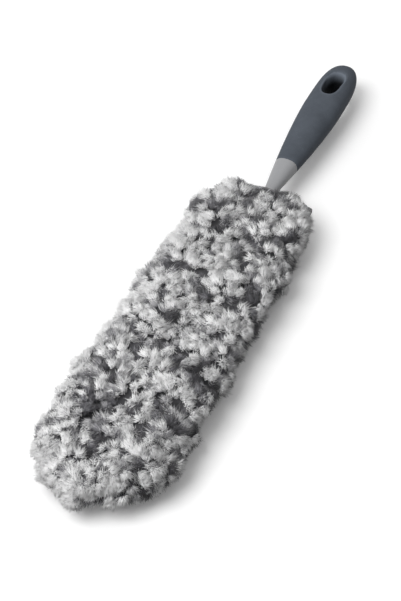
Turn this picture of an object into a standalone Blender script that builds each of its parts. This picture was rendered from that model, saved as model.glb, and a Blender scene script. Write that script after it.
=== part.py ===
"""A flat microfiber hand duster: a soft grip moulded over a plastic neck, a flexible frame pinned to
the neck, and a tufted pile sleeve that pulls off the frame to be washed.

Metres, +Z up. The duster lies on its pile at z = 0. +Y runs from the tip of the head to the end of
the grip, and the origin is on the ground under the middle of its length. Sizes are built from the
frame outwards, so that the sleeve always fits the frame and the handle always passes its mouth.
"""

import math

import bmesh
import bpy
import numpy as np

# Clearances
SEAT_GAP = 0.0003
PIN_CLEARANCE = 0.0001
FRAME_SIDE_CLEARANCE = 0.0005
FRAME_FACE_CLEARANCE = 0.0006

# Flexible frame
FRAME_WIDTH = 0.054
FRAME_THICKNESS = 0.004
FRAME_LENGTH = 0.227
FRAME_TIP_ROUNDING = 0.030
FRAME_CORNER = 0.009
FRAME_EDGE = 0.0008
RAIL_WIDTH = 0.0070
SPINE_WIDTH = 0.0065
RUNG_WIDTH = 0.0045
RUNG_PITCH = 0.0285
RUNG_BOW = 0.006
TONGUE_WIDTH = 0.0115
TONGUE_LENGTH = 0.036
TONGUE_FILLET_SHARE = 0.8
FIRST_RUNG_SHARE = 0.62

# Socket of the handle, which grips the frame's tongue
SOCKET_STANDOFF = 0.004
SOCKET_LENGTH = 0.036
SOCKET_WIDTH = 0.018
SOCKET_HEIGHT = 0.0096
SOCKET_BLEND = 0.010
SOCKET_SQUARENESS = 5.0
PIN_DIAMETER = 0.003
PIN_PITCH = 0.015

# Neck and grip
NECK_LENGTH = 0.032
NECK_WIDTH = 0.0082
NECK_THICKNESS = 0.0068
GRIP_LENGTH = 0.1255
GRIP_WIDTH = 0.0284
GRIP_THICKNESS = 0.0230
BELLY_TO_END = 0.0555
NECK_SWELL = 1.5
END_BLUNTNESS = 4.3
GRIP_SQUARENESS = 2.3
RUBBER_WALL = 0.0026

# Hanging hole
HOLE_WIDTH = 0.0124
HOLE_LENGTH = 0.0292
HOLE_TO_END = 0.0339
HOLE_RIM = 0.0009
HOLE_SQUARENESS = 2.5
HOLE_LINING = 0.0020

# Knitted sleeve
KNIT_THICKNESS = 0.0012
POCKET_SLOPE = 0.0035
SEAM_ALLOWANCE = 0.0015
OVERLOCK_WIDTH = 0.0012
MOUTH_BULGE = 0.0040
MOUTH_BULGE_WIDTH = 0.048
MOUTH_BULGE_RUN = 0.045
HEM_LENGTH = 0.008
HEM_THICKNESS = 0.0026
HEM_SETBACK = 0.005
ELASTIC_WIDTH = 0.004
ELASTIC_THICKNESS = 0.0008

# Pile
FACE_PILE = 0.0160
EDGE_PILE = 0.0110
MOUTH_PILE = 0.003
MOUTH_TAPER = 0.060
MOUTH_SQUARENESS = 5.0
MOUTH_FALL = 0.20
TOP_SQUARENESS = 2.6
BASE_SQUARENESS = 3.4
SWELL_POWER = 0.6
BASE_SINK = 0.0005
TUFT_PITCH = 0.0114
TUFT_HEIGHT = 0.0050
TUFT_LEAN = 0.2
PEAK_LIFT = (-0.15, 0.25)
DIP_LIFT = (-1.0, -0.65)
UNDERSIDE_PRESS = 0.85
TUFT_SEED = 7

# How far a cutter runs past what it cuts, and how far the hole's cutter flares, in rim radii
CUTTER_REACH = 0.02
CUTTER_FLARE = 1.6

# Finishes: colour, roughness, metallic value
RUBBER = ("slate_rubber", (0.068, 0.078, 0.092), 0.62, 0.0)
PLASTIC = ("grey_plastic", (0.38, 0.38, 0.40), 0.38, 0.0)
NYLON = ("white_nylon", (0.72, 0.72, 0.70), 0.45, 0.0)
STEEL = ("pin_steel", (0.60, 0.60, 0.62), 0.30, 1.0)
KNIT = ("grey_knit", (0.42, 0.42, 0.44), 0.90, 0.0)
YARN = ("mottled_pile", (0.48, 0.48, 0.51), 0.95, 0.0)
BAND = ("white_elastic", (0.80, 0.80, 0.78), 0.80, 0.0)

# Layers beside the frame, as distances outwards from its outline
POCKET_EDGE = FRAME_SIDE_CLEARANCE + POCKET_SLOPE
KNIT_EDGE = POCKET_EDGE + SEAM_ALLOWANCE
OVERLOCK_INNER = KNIT_EDGE + SEAT_GAP
OVERLOCK_OUTER = OVERLOCK_INNER + OVERLOCK_WIDTH
PILE_SPLIT = OVERLOCK_OUTER + SEAT_GAP

# Heights above the middle plane of the head
POCKET_HEIGHT = FRAME_THICKNESS / 2 + FRAME_FACE_CLEARANCE
PILE_TOP = POCKET_HEIGHT + KNIT_THICKNESS + SEAT_GAP + FACE_PILE
PILE_BASE = PILE_TOP - DIP_LIFT[0] * TUFT_HEIGHT * (1.0 - UNDERSIDE_PRESS) + BASE_SINK
AXIS_Z = PILE_TOP
PILE_HALF_WIDTH = FRAME_WIDTH / 2 + PILE_SPLIT + EDGE_PILE

# Stations along Y
HEAD_LENGTH = EDGE_PILE + PILE_SPLIT + FRAME_LENGTH
HANDLE_LENGTH = SOCKET_LENGTH + SOCKET_BLEND + NECK_LENGTH + GRIP_LENGTH
PILE_TIP_Y = -(HEAD_LENGTH + SOCKET_STANDOFF + HANDLE_LENGTH) / 2
FRAME_TIP_Y = PILE_TIP_Y + EDGE_PILE + PILE_SPLIT
FRAME_REAR_Y = FRAME_TIP_Y + FRAME_LENGTH
SOCKET_Y = FRAME_REAR_Y + SOCKET_STANDOFF
SOCKET_REAR_Y = SOCKET_Y + SOCKET_LENGTH
NECK_Y = SOCKET_REAR_Y + SOCKET_BLEND
COLLAR_Y = NECK_Y + NECK_LENGTH
END_Y = COLLAR_Y + GRIP_LENGTH
BELLY_Y = END_Y - BELLY_TO_END
HOLE_Y = END_Y - HOLE_TO_END
HEM_REAR_Y = NECK_Y - HEM_SETBACK
HEM_Y = HEM_REAR_Y - HEM_LENGTH
PILE_REAR_Y = HEM_REAR_Y + MOUTH_PILE

# Facets
ROUND_SIDES = 24
TIP_STEPS = 10
TIP_RIM = 0.2
GRIP_STEPS = 6
END_STEPS = 11
END_CLOSE = 0.9985
WINDOW_STEPS = 4
RIM_STEPS = 4
CURVE_STEPS = 361


def clear_scene():
    for item in list(bpy.data.objects):
        bpy.data.objects.remove(item, do_unlink=True)


def finish_of(spec):
    """One Principled material for each finish."""
    name, colour, roughness, metallic = spec
    material = bpy.data.materials.get(name) or bpy.data.materials.new(name)
    material.use_nodes = True
    shader = material.node_tree.nodes["Principled BSDF"]
    shader.inputs["Base Color"].default_value = (*colour, 1.0)
    shader.inputs["Roughness"].default_value = roughness
    shader.inputs["Metallic"].default_value = metallic
    return material


def add_object(name, mesh, finish=None):
    item = bpy.data.objects.new(name, mesh)
    bpy.context.collection.objects.link(item)
    if finish:
        mesh.materials.clear()
        mesh.materials.append(finish_of(finish))
    return item


def mesh_from(name, points, faces):
    """A mesh whose faces all point outwards."""
    mesh = bpy.data.meshes.new(name)
    mesh.from_pydata([tuple(map(float, p)) for p in points], [], faces)
    work = bmesh.new()
    work.from_mesh(mesh)
    bmesh.ops.recalc_face_normals(work, faces=work.faces)
    work.to_mesh(mesh)
    work.free()
    return mesh


def smooth_shaded(item, angle=math.radians(35)):
    item.data.shade_smooth()
    item.data.set_sharp_from_angle(angle=angle)
    return item


def as_cutter(item):
    item.hide_render = True
    item.display_type = "WIRE"
    return item


def carve(item, cutter):
    modifier = item.modifiers.new(cutter.name, "BOOLEAN")
    modifier.operation = "DIFFERENCE"
    modifier.solver = "EXACT"
    modifier.object = as_cutter(cutter)


def loft(name, rings):
    """Rings of equal count joined by triangles, with a flat cap on the first and the last."""
    count = len(rings[0])
    points = [p for ring in rings for p in ring]
    faces = []
    for row in range(len(rings) - 1):
        low, high = row * count, (row + 1) * count
        for k in range(count):
            after = (k + 1) % count
            faces += [(low + k, low + after, high + after), (low + k, high + after, high + k)]
    faces.append(tuple(reversed(range(count))))
    faces.append(tuple((len(rings) - 1) * count + k for k in range(count)))
    return mesh_from(name, points, faces)


def hoop(name, loops):
    """Closed loops round a mouth, each joined to the next and the last to the first."""
    count = len(loops[0])
    points = [p for loop in loops for p in loop]
    faces = []
    for row in range(len(loops)):
        here, there = row * count, ((row + 1) % len(loops)) * count
        for k in range(count):
            after = (k + 1) % count
            faces.append((here + k, here + after, there + after, there + k))
    return mesh_from(name, points, faces)


def smoothstep(value):
    value = np.clip(value, 0.0, 1.0)
    return value * value * (3.0 - 2.0 * value)


def superellipse(half_x, half_z, power, sides, y):
    """One section across Y: |x / half_x| ** power + |z / half_z| ** power = 1 about the axis."""
    ring = []
    for k in range(sides):
        turn = 2 * math.pi * k / sides
        c, s = math.cos(turn), math.sin(turn)
        x = half_x * math.copysign(abs(c) ** (2 / power), c)
        z = half_z * math.copysign(abs(s) ** (2 / power), s)
        ring.append((x, y, AXIS_Z + z))
    return ring


def outline_half(y, outset):
    """Half width of the frame's outline moved outwards by outset: straight sides and an elliptic tip."""
    rounding = FRAME_TIP_ROUNDING + outset
    back = np.clip((FRAME_TIP_Y + FRAME_TIP_ROUNDING - y) / rounding, 0.0, 1.0)
    return (FRAME_WIDTH / 2 + outset) * np.sqrt(1.0 - back**2)


def tip_point(angle, outset):
    """Point of that outline on its right side, from the tip (0) to where the side runs straight."""
    x = (FRAME_WIDTH / 2 + outset) * math.sin(angle)
    y = FRAME_TIP_Y + FRAME_TIP_ROUNDING - (FRAME_TIP_ROUNDING + outset) * math.cos(angle)
    return x, y


def grip_form(half, neck_half, y, inset=0.0):
    """Half size of the neck and grip at y: a swelling from the neck to the belly, then a blunt round end."""
    if y < BELLY_Y:
        run = (BELLY_Y - y) / (BELLY_Y - NECK_Y)
        return half - (half - neck_half) * run**NECK_SWELL - inset
    run = min(1.0, (y - BELLY_Y) / (END_Y - inset - BELLY_Y))
    return (half - inset) * math.sqrt(max(0.0, 1.0 - run**END_BLUNTNESS))


def grip_ring(y, inset=0.0):
    return superellipse(
        grip_form(GRIP_WIDTH / 2, NECK_WIDTH / 2, y, inset),
        grip_form(GRIP_THICKNESS / 2, NECK_THICKNESS / 2, y, inset),
        GRIP_SQUARENESS,
        ROUND_SIDES,
        y,
    )


def grip_stations(start, inset=0.0):
    """Even steps up to the belly, then steps that close up towards the round end."""
    steps = [start + (BELLY_Y - start) * k / GRIP_STEPS for k in range(GRIP_STEPS)]
    run = END_Y - inset - BELLY_Y
    turns = [math.pi / 2 * k / END_STEPS for k in range(END_STEPS)]
    return steps + [BELLY_Y + run * math.sin(turn) for turn in turns] + [BELLY_Y + run * END_CLOSE]


def hole_outline(outset, turn):
    """Plan of the hanging hole, a long rounded oval, moved outwards by outset."""
    c, s = math.cos(turn), math.sin(turn)
    x = (HOLE_WIDTH / 2 + outset) * math.copysign(abs(c) ** (2 / HOLE_SQUARENESS), c)
    y = (HOLE_LENGTH / 2 + outset) * math.copysign(abs(s) ** (2 / HOLE_SQUARENESS), s)
    return x, HOLE_Y + y


def hole_prism(name, outset):
    """A straight plug through the handle with the hole's outline."""
    rings = []
    for level in (-GRIP_THICKNESS, GRIP_THICKNESS):
        ring = []
        for k in range(ROUND_SIDES):
            x, y = hole_outline(outset, 2 * math.pi * k / ROUND_SIDES)
            ring.append((x, y, AXIS_Z + level))
        rings.append(ring)
    return add_object(name, loft(name, rings))


def skin_height(x, y):
    """Height of the grip's outer skin above its axis at a plan point."""
    half_x = grip_form(GRIP_WIDTH / 2, NECK_WIDTH / 2, y)
    half_z = grip_form(GRIP_THICKNESS / 2, NECK_THICKNESS / 2, y)
    across = min(1.0, abs(x) / half_x)
    return half_z * (1.0 - across**GRIP_SQUARENESS) ** (1 / GRIP_SQUARENESS)


def rolled_hole(name):
    """The hole's cutter: it flares at both faces by a quarter round, which leaves the grip a rolled rim."""
    profile = [(HOLE_RIM * CUTTER_FLARE, HOLE_RIM * CUTTER_FLARE)]
    for k in range(RIM_STEPS + 1):
        angle = math.pi / 2 * k / RIM_STEPS
        profile.append((HOLE_RIM * (1.0 - math.sin(angle)), -HOLE_RIM * (1.0 - math.cos(angle))))
    rings = []
    for side in (1, -1):
        for outset, lift in profile if side > 0 else reversed(profile):
            ring = []
            for k in range(ROUND_SIDES):
                turn = 2 * math.pi * k / ROUND_SIDES
                x, y = hole_outline(outset, turn)
                edge_x, edge_y = hole_outline(0.0, turn)
                ring.append((x, y, AXIS_Z + side * (skin_height(edge_x, edge_y) + lift)))
            rings.append(ring)
    return add_object(name, loft(name, rings))


def make_grip_cover():
    """Soft rubber skin over the handle's tang, lined round the hanging hole."""
    skin = loft("grip_cover", [grip_ring(y) for y in grip_stations(COLLAR_Y)])
    cover = add_object("grip_cover", skin, RUBBER)
    stations = [COLLAR_Y - RUBBER_WALL] + grip_stations(COLLAR_Y, RUBBER_WALL)[1:]
    hollow = add_object("grip_hollow", loft("grip_hollow", [grip_ring(y, RUBBER_WALL) for y in stations]))
    carve(hollow, hole_prism("hole_lining", HOLE_LINING))
    carve(cover, hollow)
    carve(cover, rolled_hole("hanging_hole"))
    return smooth_shaded(cover)


def pin_stations():
    middle = SOCKET_Y + SOCKET_LENGTH / 2
    return middle - PIN_PITCH / 2, middle + PIN_PITCH / 2


def cylinder(name, radius, bottom, top, y, finish=None, sides=16):
    rings = []
    for z in (bottom, top):
        turns = [2 * math.pi * k / sides for k in range(sides)]
        rings.append([(radius * math.cos(t), y + radius * math.sin(t), z) for t in turns])
    return add_object(name, loft(name, rings), finish)


def box(name, low, high):
    """A plain block between two corners."""
    corners = ((low[0], low[2]), (high[0], low[2]), (high[0], high[2]), (low[0], high[2]))
    rings = [[(x, y, z) for x, z in corners] for y in (low[1], high[1])]
    return add_object(name, loft(name, rings))


def make_handle_core():
    """Hard plastic in one moulding: the socket, the visible neck and the tang under the rubber."""
    inset = RUBBER_WALL + SEAT_GAP
    rings = []
    for y in (SOCKET_Y, SOCKET_REAR_Y):
        rings.append(superellipse(SOCKET_WIDTH / 2, SOCKET_HEIGHT / 2, SOCKET_SQUARENESS, ROUND_SIDES, y))
    for k in range(1, 5):
        blend = float(smoothstep(k / 4))
        half_x = SOCKET_WIDTH / 2 + (NECK_WIDTH - SOCKET_WIDTH) / 2 * blend
        half_z = SOCKET_HEIGHT / 2 + (NECK_THICKNESS - SOCKET_HEIGHT) / 2 * blend
        power = SOCKET_SQUARENESS + (GRIP_SQUARENESS - SOCKET_SQUARENESS) * blend
        rings.append(superellipse(half_x, half_z, power, ROUND_SIDES, SOCKET_REAR_Y + SOCKET_BLEND * k / 4))
    shoulder = COLLAR_Y - SEAT_GAP
    rings += [grip_ring(NECK_Y + (shoulder - NECK_Y) * k / 6) for k in range(1, 7)]
    rings.append(grip_ring(shoulder, inset))
    rings += [grip_ring(y, inset) for y in grip_stations(COLLAR_Y, inset)[1:]]
    core = add_object("handle_core", loft("handle_core", rings), PLASTIC)
    slot_x = TONGUE_WIDTH / 2 + SEAT_GAP
    slot_z = FRAME_THICKNESS / 2 + SEAT_GAP
    slot_end = FRAME_REAR_Y + TONGUE_LENGTH + SEAT_GAP
    slot_low = (-slot_x, SOCKET_Y - CUTTER_REACH, AXIS_Z - slot_z)
    carve(core, box("tongue_slot", slot_low, (slot_x, slot_end, AXIS_Z + slot_z)))
    for k, y in enumerate(pin_stations()):
        radius = PIN_DIAMETER / 2 + PIN_CLEARANCE
        carve(core, cylinder(f"pin_bore_{k}", radius, AXIS_Z - SOCKET_HEIGHT, AXIS_Z + SOCKET_HEIGHT, y))
    carve(core, hole_prism("tang_hole", HOLE_LINING + SEAT_GAP))
    return smooth_shaded(core)


def make_frame_pins():
    """Two pins through the socket and the tongue."""
    half = SOCKET_HEIGHT / 2 - SEAT_GAP
    for name, y in zip(("front_frame_pin", "rear_frame_pin"), pin_stations()):
        smooth_shaded(cylinder(name, PIN_DIAMETER / 2, AXIS_Z - half, AXIS_Z + half, y, STEEL))


def arc_points(x, y, radius, start, end, steps):
    turns = [start + (end - start) * k / steps for k in range(steps + 1)]
    return [(x + radius * math.cos(t), y + radius * math.sin(t)) for t in turns]


def frame_outline():
    """Right half of the frame's edge from the tongue's end round to the tip."""
    half, tongue = FRAME_WIDTH / 2, TONGUE_WIDTH / 2
    end = FRAME_REAR_Y + TONGUE_LENGTH
    fillet = SOCKET_STANDOFF * TONGUE_FILLET_SHARE
    right = [(tongue, end)]
    right += arc_points(tongue + fillet, FRAME_REAR_Y + fillet, fillet, math.pi, 1.5 * math.pi, 3)
    right += arc_points(half - FRAME_CORNER, FRAME_REAR_Y - FRAME_CORNER, FRAME_CORNER, math.pi / 2, 0, 4)
    right += [tip_point(math.pi / 2 * (1 - k / 10), 0.0) for k in range(10)]
    return right


def frame_windows():
    """Openings on the right of the spine, between bowed rungs, rounded by the rail at the tip."""
    left = SPINE_WIDTH / 2
    full = FRAME_WIDTH / 2 - RAIL_WIDTH
    last = FRAME_REAR_Y - RAIL_WIDTH
    first = FRAME_TIP_Y + FRAME_TIP_ROUNDING * FIRST_RUNG_SHARE
    count = max(2, round((last - first) / RUNG_PITCH))
    edges = [first + (last - first) * k / count for k in range(count + 1)]

    def bow(x):
        return RUNG_BOW * (x / full) ** 2

    windows = []
    top = edges[0] - RUNG_WIDTH
    start = math.asin(left / full)
    turns = [start + (math.pi / 2 - start) * k / (2 * WINDOW_STEPS) for k in range(2 * WINDOW_STEPS + 1)]
    tip = [tip_point(turn, -RAIL_WIDTH) for turn in turns]
    tip = [p for p in tip if p[1] < top + bow(p[0]) - RUNG_WIDTH / 2]
    side = float(outline_half(top + bow(full), -RAIL_WIDTH))
    windows.append(tip + [(x, top + bow(x)) for x in (side, (side + left) / 2, left)])
    for low, high in zip(edges[:-1], edges[1:]):
        level = high - RUNG_WIDTH if high < last else high
        rise = bow if high < last else (lambda x: 0.0)
        window = []
        for k in range(WINDOW_STEPS + 1):
            x = left + (float(outline_half(low + RUNG_BOW, -RAIL_WIDTH)) - left) * k / WINDOW_STEPS
            window.append((x, low + bow(x)))
        bottom, ceiling = window[-1][1], level + rise(full)
        for k in range(1, WINDOW_STEPS):
            y = bottom + (ceiling - bottom) * k / WINDOW_STEPS
            window.append((float(outline_half(y, -RAIL_WIDTH)), y))
        for k in range(WINDOW_STEPS, -1, -1):
            x = left + (full - left) * k / WINDOW_STEPS
            window.append((x, level + rise(x)))
        windows.append(window)
    return windows


def make_flex_frame():
    """Bendable moulded frame: a rounded loop, a spine with bowed rungs and a tongue for the socket."""
    right = frame_outline()
    loops = [right + [(0.0, FRAME_TIP_Y)] + [(-x, y) for x, y in reversed(right)]]
    for window in frame_windows():
        loops += [window, [(-x, y) for x, y in window]]
    for y in pin_stations():
        loops.append(arc_points(0.0, y, PIN_DIAMETER / 2 + PIN_CLEARANCE, 0, 2 * math.pi * 11 / 12, 11))
    plan = bmesh.new()
    edges = []
    for loop in loops:
        corners = [plan.verts.new((x, y, AXIS_Z - FRAME_THICKNESS / 2)) for x, y in loop]
        edges += [plan.edges.new((a, b)) for a, b in zip(corners, corners[1:] + corners[:1])]
    bmesh.ops.triangle_fill(plan, use_beauty=True, use_dissolve=False, edges=edges)
    grown = bmesh.ops.extrude_face_region(plan, geom=list(plan.faces))
    lifted = [part for part in grown["geom"] if isinstance(part, bmesh.types.BMVert)]
    bmesh.ops.translate(plan, verts=lifted, vec=(0, 0, FRAME_THICKNESS))
    bmesh.ops.recalc_face_normals(plan, faces=plan.faces)
    mesh = bpy.data.meshes.new("flex_frame")
    plan.to_mesh(mesh)
    plan.free()
    frame = add_object("flex_frame", mesh, NYLON)
    edge = frame.modifiers.new("soft_edges", "BEVEL")
    edge.width = FRAME_EDGE
    edge.segments = 1
    edge.limit_method = "ANGLE"
    edge.angle_limit = math.radians(60)
    return smooth_shaded(frame)


def pocket_margin(x, y, outset):
    """Distance in from the outline moved outwards by outset, near enough for the knit's slope."""
    half, rounding = FRAME_WIDTH / 2 + outset, FRAME_TIP_ROUNDING + outset
    back = np.clip((FRAME_TIP_Y + FRAME_TIP_ROUNDING - y) / rounding, 0.0, 1.0)
    across = np.abs(x) / half
    reach = np.sqrt(across**2 + back**2)
    share = back**2 / np.maximum(reach**2, 1e-9)
    return (1.0 - reach) * (half + (rounding - half) * share)


def pocket_height(x, y):
    """Half height inside the sleeve: flat over the frame, sloped to the seams, bulged to the mouth."""
    flat = POCKET_HEIGHT * smoothstep(pocket_margin(x, y, POCKET_EDGE) / POCKET_SLOPE)
    start = SOCKET_Y - MOUTH_BULGE_RUN
    grow = smoothstep((y - start) / (FRAME_REAR_Y - start))
    across = np.clip(np.abs(x) / (MOUTH_BULGE_WIDTH / 2), 0.0, 1.0)
    return np.maximum(flat + MOUTH_BULGE * grow * (1.0 - across**2) ** 2, SEAT_GAP / 2)


def sleeve_stations(rear):
    """Steps along Y: fine round the tip and where the mouth bulges, long between."""
    turns = [0.25] + list(range(1, TIP_STEPS))
    tip = [tip_point(math.pi / 2 * turn / TIP_STEPS, KNIT_EDGE)[1] for turn in turns]
    start = FRAME_TIP_Y + FRAME_TIP_ROUNDING
    bulge = SOCKET_Y - MOUTH_BULGE_RUN
    straight = [start + (bulge - start) * k / 3 for k in range(4)]
    return tip + straight + [bulge + (rear - bulge) * k / 6 for k in range(1, 7)]


def knit_columns():
    """Places over the knit's width, as distances from its middle where the sides run straight."""
    flat = FRAME_WIDTH / 2 + FRAME_SIDE_CLEARANCE
    side = [flat * k / 6 for k in range(7)] + [flat + POCKET_SLOPE * k / 3 for k in range(1, 4)]
    return np.array([-x for x in reversed(side[1:])] + side)


def sheet_rings(stations, height, low_side, high_side, rim=False):
    """Sections of a layer over the knit's plan, between two multiples of a height added to the axis.

    With a rim, each section runs on to the overlocked edge's outer side.
    """
    edge = FRAME_WIDTH / 2 + KNIT_EDGE
    shares = np.concatenate([[-1.0], knit_columns() / edge, [1.0]])
    rings = []
    for y in stations:
        xs = shares * float(outline_half(y, KNIT_EDGE))
        if rim:
            half = float(outline_half(y, PILE_SPLIT))
            if xs[-1] < TIP_RIM * half:
                xs = shares * half * (1.0 - TIP_RIM)
            xs = np.concatenate([[-half], xs, [half]])
        under = [(x, y, AXIS_Z + low_side(height(x, y))) for x in xs]
        over = [(x, y, AXIS_Z + high_side(height(x, y))) for x in xs[::-1]]
        rings.append(under + over)
    return rings


def make_backing(name, side):
    """One knitted panel of the sleeve, above (side 1) or below (side -1) the frame."""
    stations = sleeve_stations(HEM_Y - SEAT_GAP)
    low, high = sorted((0.0, side * KNIT_THICKNESS))
    rings = sheet_rings(stations, pocket_height, lambda z: side * z + low, lambda z: side * z + high)
    return smooth_shaded(add_object(name, loft(name, rings), KNIT))


def make_edge_seam():
    """Overlocked edge that holds both panels, a U from one side of the mouth round the tip."""
    angles = [math.pi / 2 * k / TIP_STEPS for k in range(TIP_STEPS, -1, -1)]
    pairs = [(tip_point(a, OVERLOCK_INNER), tip_point(a, OVERLOCK_OUTER)) for a in angles]
    end = HEM_Y - SEAT_GAP
    straight = ((FRAME_WIDTH / 2 + OVERLOCK_INNER, end), (FRAME_WIDTH / 2 + OVERLOCK_OUTER, end))
    right = [straight] + pairs
    left = [tuple((-x, y) for x, y in pair) for pair in reversed(right[:-1])]
    half = SEAT_GAP / 2 + KNIT_THICKNESS
    rings = []
    low, high = AXIS_Z - half, AXIS_Z + half
    for (ax, ay), (bx, by) in right + left:
        rings.append([(ax, ay, low), (bx, by, low), (bx, by, high), (ax, ay, high)])
    return add_object("edge_seam", loft("edge_seam", rings), KNIT)


def mouth_loop(y, outset):
    """The mouth's section, lens shaped, moved outwards by outset."""
    columns = knit_columns()
    inner = columns[1:-1]
    heights = [float(pocket_height(x, HEM_REAR_Y)) + outset for x in inner]
    end = columns[-1] + outset
    over = [(x, y, AXIS_Z + z) for x, z in zip(inner[::-1], heights[::-1])]
    under = [(x, y, AXIS_Z - z) for x, z in zip(inner, heights)]
    return [(end, y, AXIS_Z)] + over + [(-end, y, AXIS_Z)] + under


def make_mouth_hem():
    """Folded hem round the mouth, with the groove that holds the elastic."""
    wall = (HEM_THICKNESS - ELASTIC_THICKNESS) / 2 - SEAT_GAP
    inner, outer = wall, HEM_THICKNESS - wall
    groove_y = HEM_Y + ELASTIC_WIDTH + 2 * SEAT_GAP
    profile = [
        (0.0, HEM_Y),
        (0.0, HEM_REAR_Y),
        (HEM_THICKNESS, HEM_REAR_Y),
        (HEM_THICKNESS, HEM_Y),
        (outer, HEM_Y),
        (outer, groove_y),
        (inner, groove_y),
        (inner, HEM_Y),
    ]
    add_object("mouth_hem", hoop("mouth_hem", [mouth_loop(y, outset) for outset, y in profile]), KNIT)
    band = [
        (inner + SEAT_GAP, HEM_Y + SEAT_GAP),
        (inner + SEAT_GAP, HEM_Y + SEAT_GAP + ELASTIC_WIDTH),
        (outer - SEAT_GAP, HEM_Y + SEAT_GAP + ELASTIC_WIDTH),
        (outer - SEAT_GAP, HEM_Y + SEAT_GAP),
    ]
    add_object("mouth_elastic", hoop("mouth_elastic", [mouth_loop(y, outset) for outset, y in band]), BAND)


def pile_half_width(y):
    """Plan of the pile: the elliptic tip of the outline, and a squarer taper to the mouth."""
    half = outline_half(y, PILE_SPLIT + EDGE_PILE)
    run = np.clip((y - (PILE_REAR_Y - MOUTH_TAPER)) / MOUTH_TAPER, 0.0, 1.0)
    return half * (1.0 - run**MOUTH_SQUARENESS) ** (1 / MOUTH_SQUARENESS)


def even_steps(curve, count, start=0.0, closed=False):
    """Indices, as real numbers, of points spread evenly by length along a dense curve."""
    steps = np.linalg.norm(np.diff(curve, axis=0), axis=1)
    length = np.concatenate([[0.0], np.cumsum(steps)])
    share = (np.arange(count) + start) / (count if closed else count - 1)
    return np.interp((share % 1.0 if closed else share) * length[-1], length, np.arange(len(curve)))


def section_curve(half, top, base):
    """One section of the pile as a dense curve, squarer below than above."""
    turn = np.linspace(0, 2 * math.pi, CURVE_STEPS)
    c, s = np.cos(turn), np.sin(turn)
    power = np.where(s > 0, TOP_SQUARENESS, BASE_SQUARENESS)
    x = half * np.sign(c) * np.abs(c) ** (2 / power)
    z = np.where(s > 0, top, base) * np.sign(s) * np.abs(s) ** (2 / power)
    return np.stack([x, z], 1)


def curve_length(curve):
    return np.linalg.norm(np.diff(curve, axis=0), axis=1).sum()


def pile_surface():
    """The pile's skin as a grid of points, each row shifted by half a step from the one before it."""
    pitch = TUFT_PITCH / math.sqrt(3)
    dense = np.linspace(PILE_TIP_Y, PILE_REAR_Y, 1200)[1:-1]
    profile = np.stack([dense, pile_half_width(dense)], 1)
    rows = 3 * round(curve_length(profile) / (pitch * math.sqrt(3) / 2) / 3)
    stations = np.interp(even_steps(profile, rows), np.arange(len(dense)), dense)
    widest = section_curve(PILE_HALF_WIDTH, PILE_TOP, PILE_BASE)
    around = 3 * round(curve_length(widest) / pitch / 3)
    grid = np.zeros((rows, around, 3))
    for row, y in enumerate(stations):
        half = float(pile_half_width(y))
        swell = (half / PILE_HALF_WIDTH) ** SWELL_POWER
        fall = 1.0 - MOUTH_FALL * float(smoothstep((y - (PILE_REAR_Y - MOUTH_TAPER)) / MOUTH_TAPER))
        curve = section_curve(half, PILE_TOP * swell * fall, PILE_BASE * swell)
        index = even_steps(curve, around, row * 0.5, closed=True)
        x, z = (np.interp(index, np.arange(CURVE_STEPS), side) for side in curve.T)
        grid[row] = np.stack([x, np.full(around, y), z], 1)
    return grid


def tufted(grid):
    """Raises every third point of the slanted grid into the peak of a tuft, along the skin's normals.

    The underside is pressed flat by the duster's weight, with even its dips down to the ground.
    """
    draw = np.random.RandomState(TUFT_SEED)
    rows, around, _ = grid.shape
    along = np.gradient(grid, axis=0)
    round_way = np.roll(grid, -1, axis=1) - np.roll(grid, 1, axis=1)
    normal = np.cross(along, round_way)
    normal /= np.maximum(np.linalg.norm(normal, axis=2, keepdims=True), 1e-12)
    outwards = np.sign((normal[:, :, 0] * grid[:, :, 0] + normal[:, :, 2] * grid[:, :, 2]).sum())
    normal *= outwards
    row, column = np.meshgrid(np.arange(rows), np.arange(around), indexing="ij")
    peak = (row - column) % 3 == 0
    spacing = np.linalg.norm(round_way, axis=2) / 2
    room = np.clip(spacing / (TUFT_PITCH / math.sqrt(3)), 0.0, 1.0)
    press = 1.0 - UNDERSIDE_PRESS * smoothstep(-normal[:, :, 2])
    lift = np.where(peak, draw.uniform(*PEAK_LIFT, peak.shape), draw.uniform(*DIP_LIFT, peak.shape))
    lean = draw.uniform(-TUFT_LEAN, TUFT_LEAN, grid.shape) * TUFT_PITCH / math.sqrt(3)
    lean *= (room * press)[:, :, None]
    points = grid + normal * (lift * TUFT_HEIGHT * room * press)[:, :, None] + lean
    points[:, :, 2] = np.maximum(points[:, :, 2] + AXIS_Z, 0.0)
    return points


def pile_body():
    """The whole pile as one closed skin, before the sleeve's inside and its seams are cut from it."""
    points = tufted(pile_surface())
    rows, around, _ = points.shape
    ends = [points[0].mean(axis=0), points[-1].mean(axis=0)]
    corners = np.concatenate([points.reshape(-1, 3), ends])
    faces = []
    for row in range(rows - 1):
        for k in range(around):
            after = (k + 1) % around
            a, b = row * around + k, row * around + after
            c, d = (row + 1) * around + after, (row + 1) * around + k
            faces += [(a, b, d), (b, c, d)]
    tip, mouth = rows * around, rows * around + 1
    for k in range(around):
        after = (k + 1) % around
        faces.append((after, k, tip))
        faces.append(((rows - 1) * around + k, (rows - 1) * around + after, mouth))
    return add_object("pile_body", mesh_from("pile_body", corners, faces))


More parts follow.
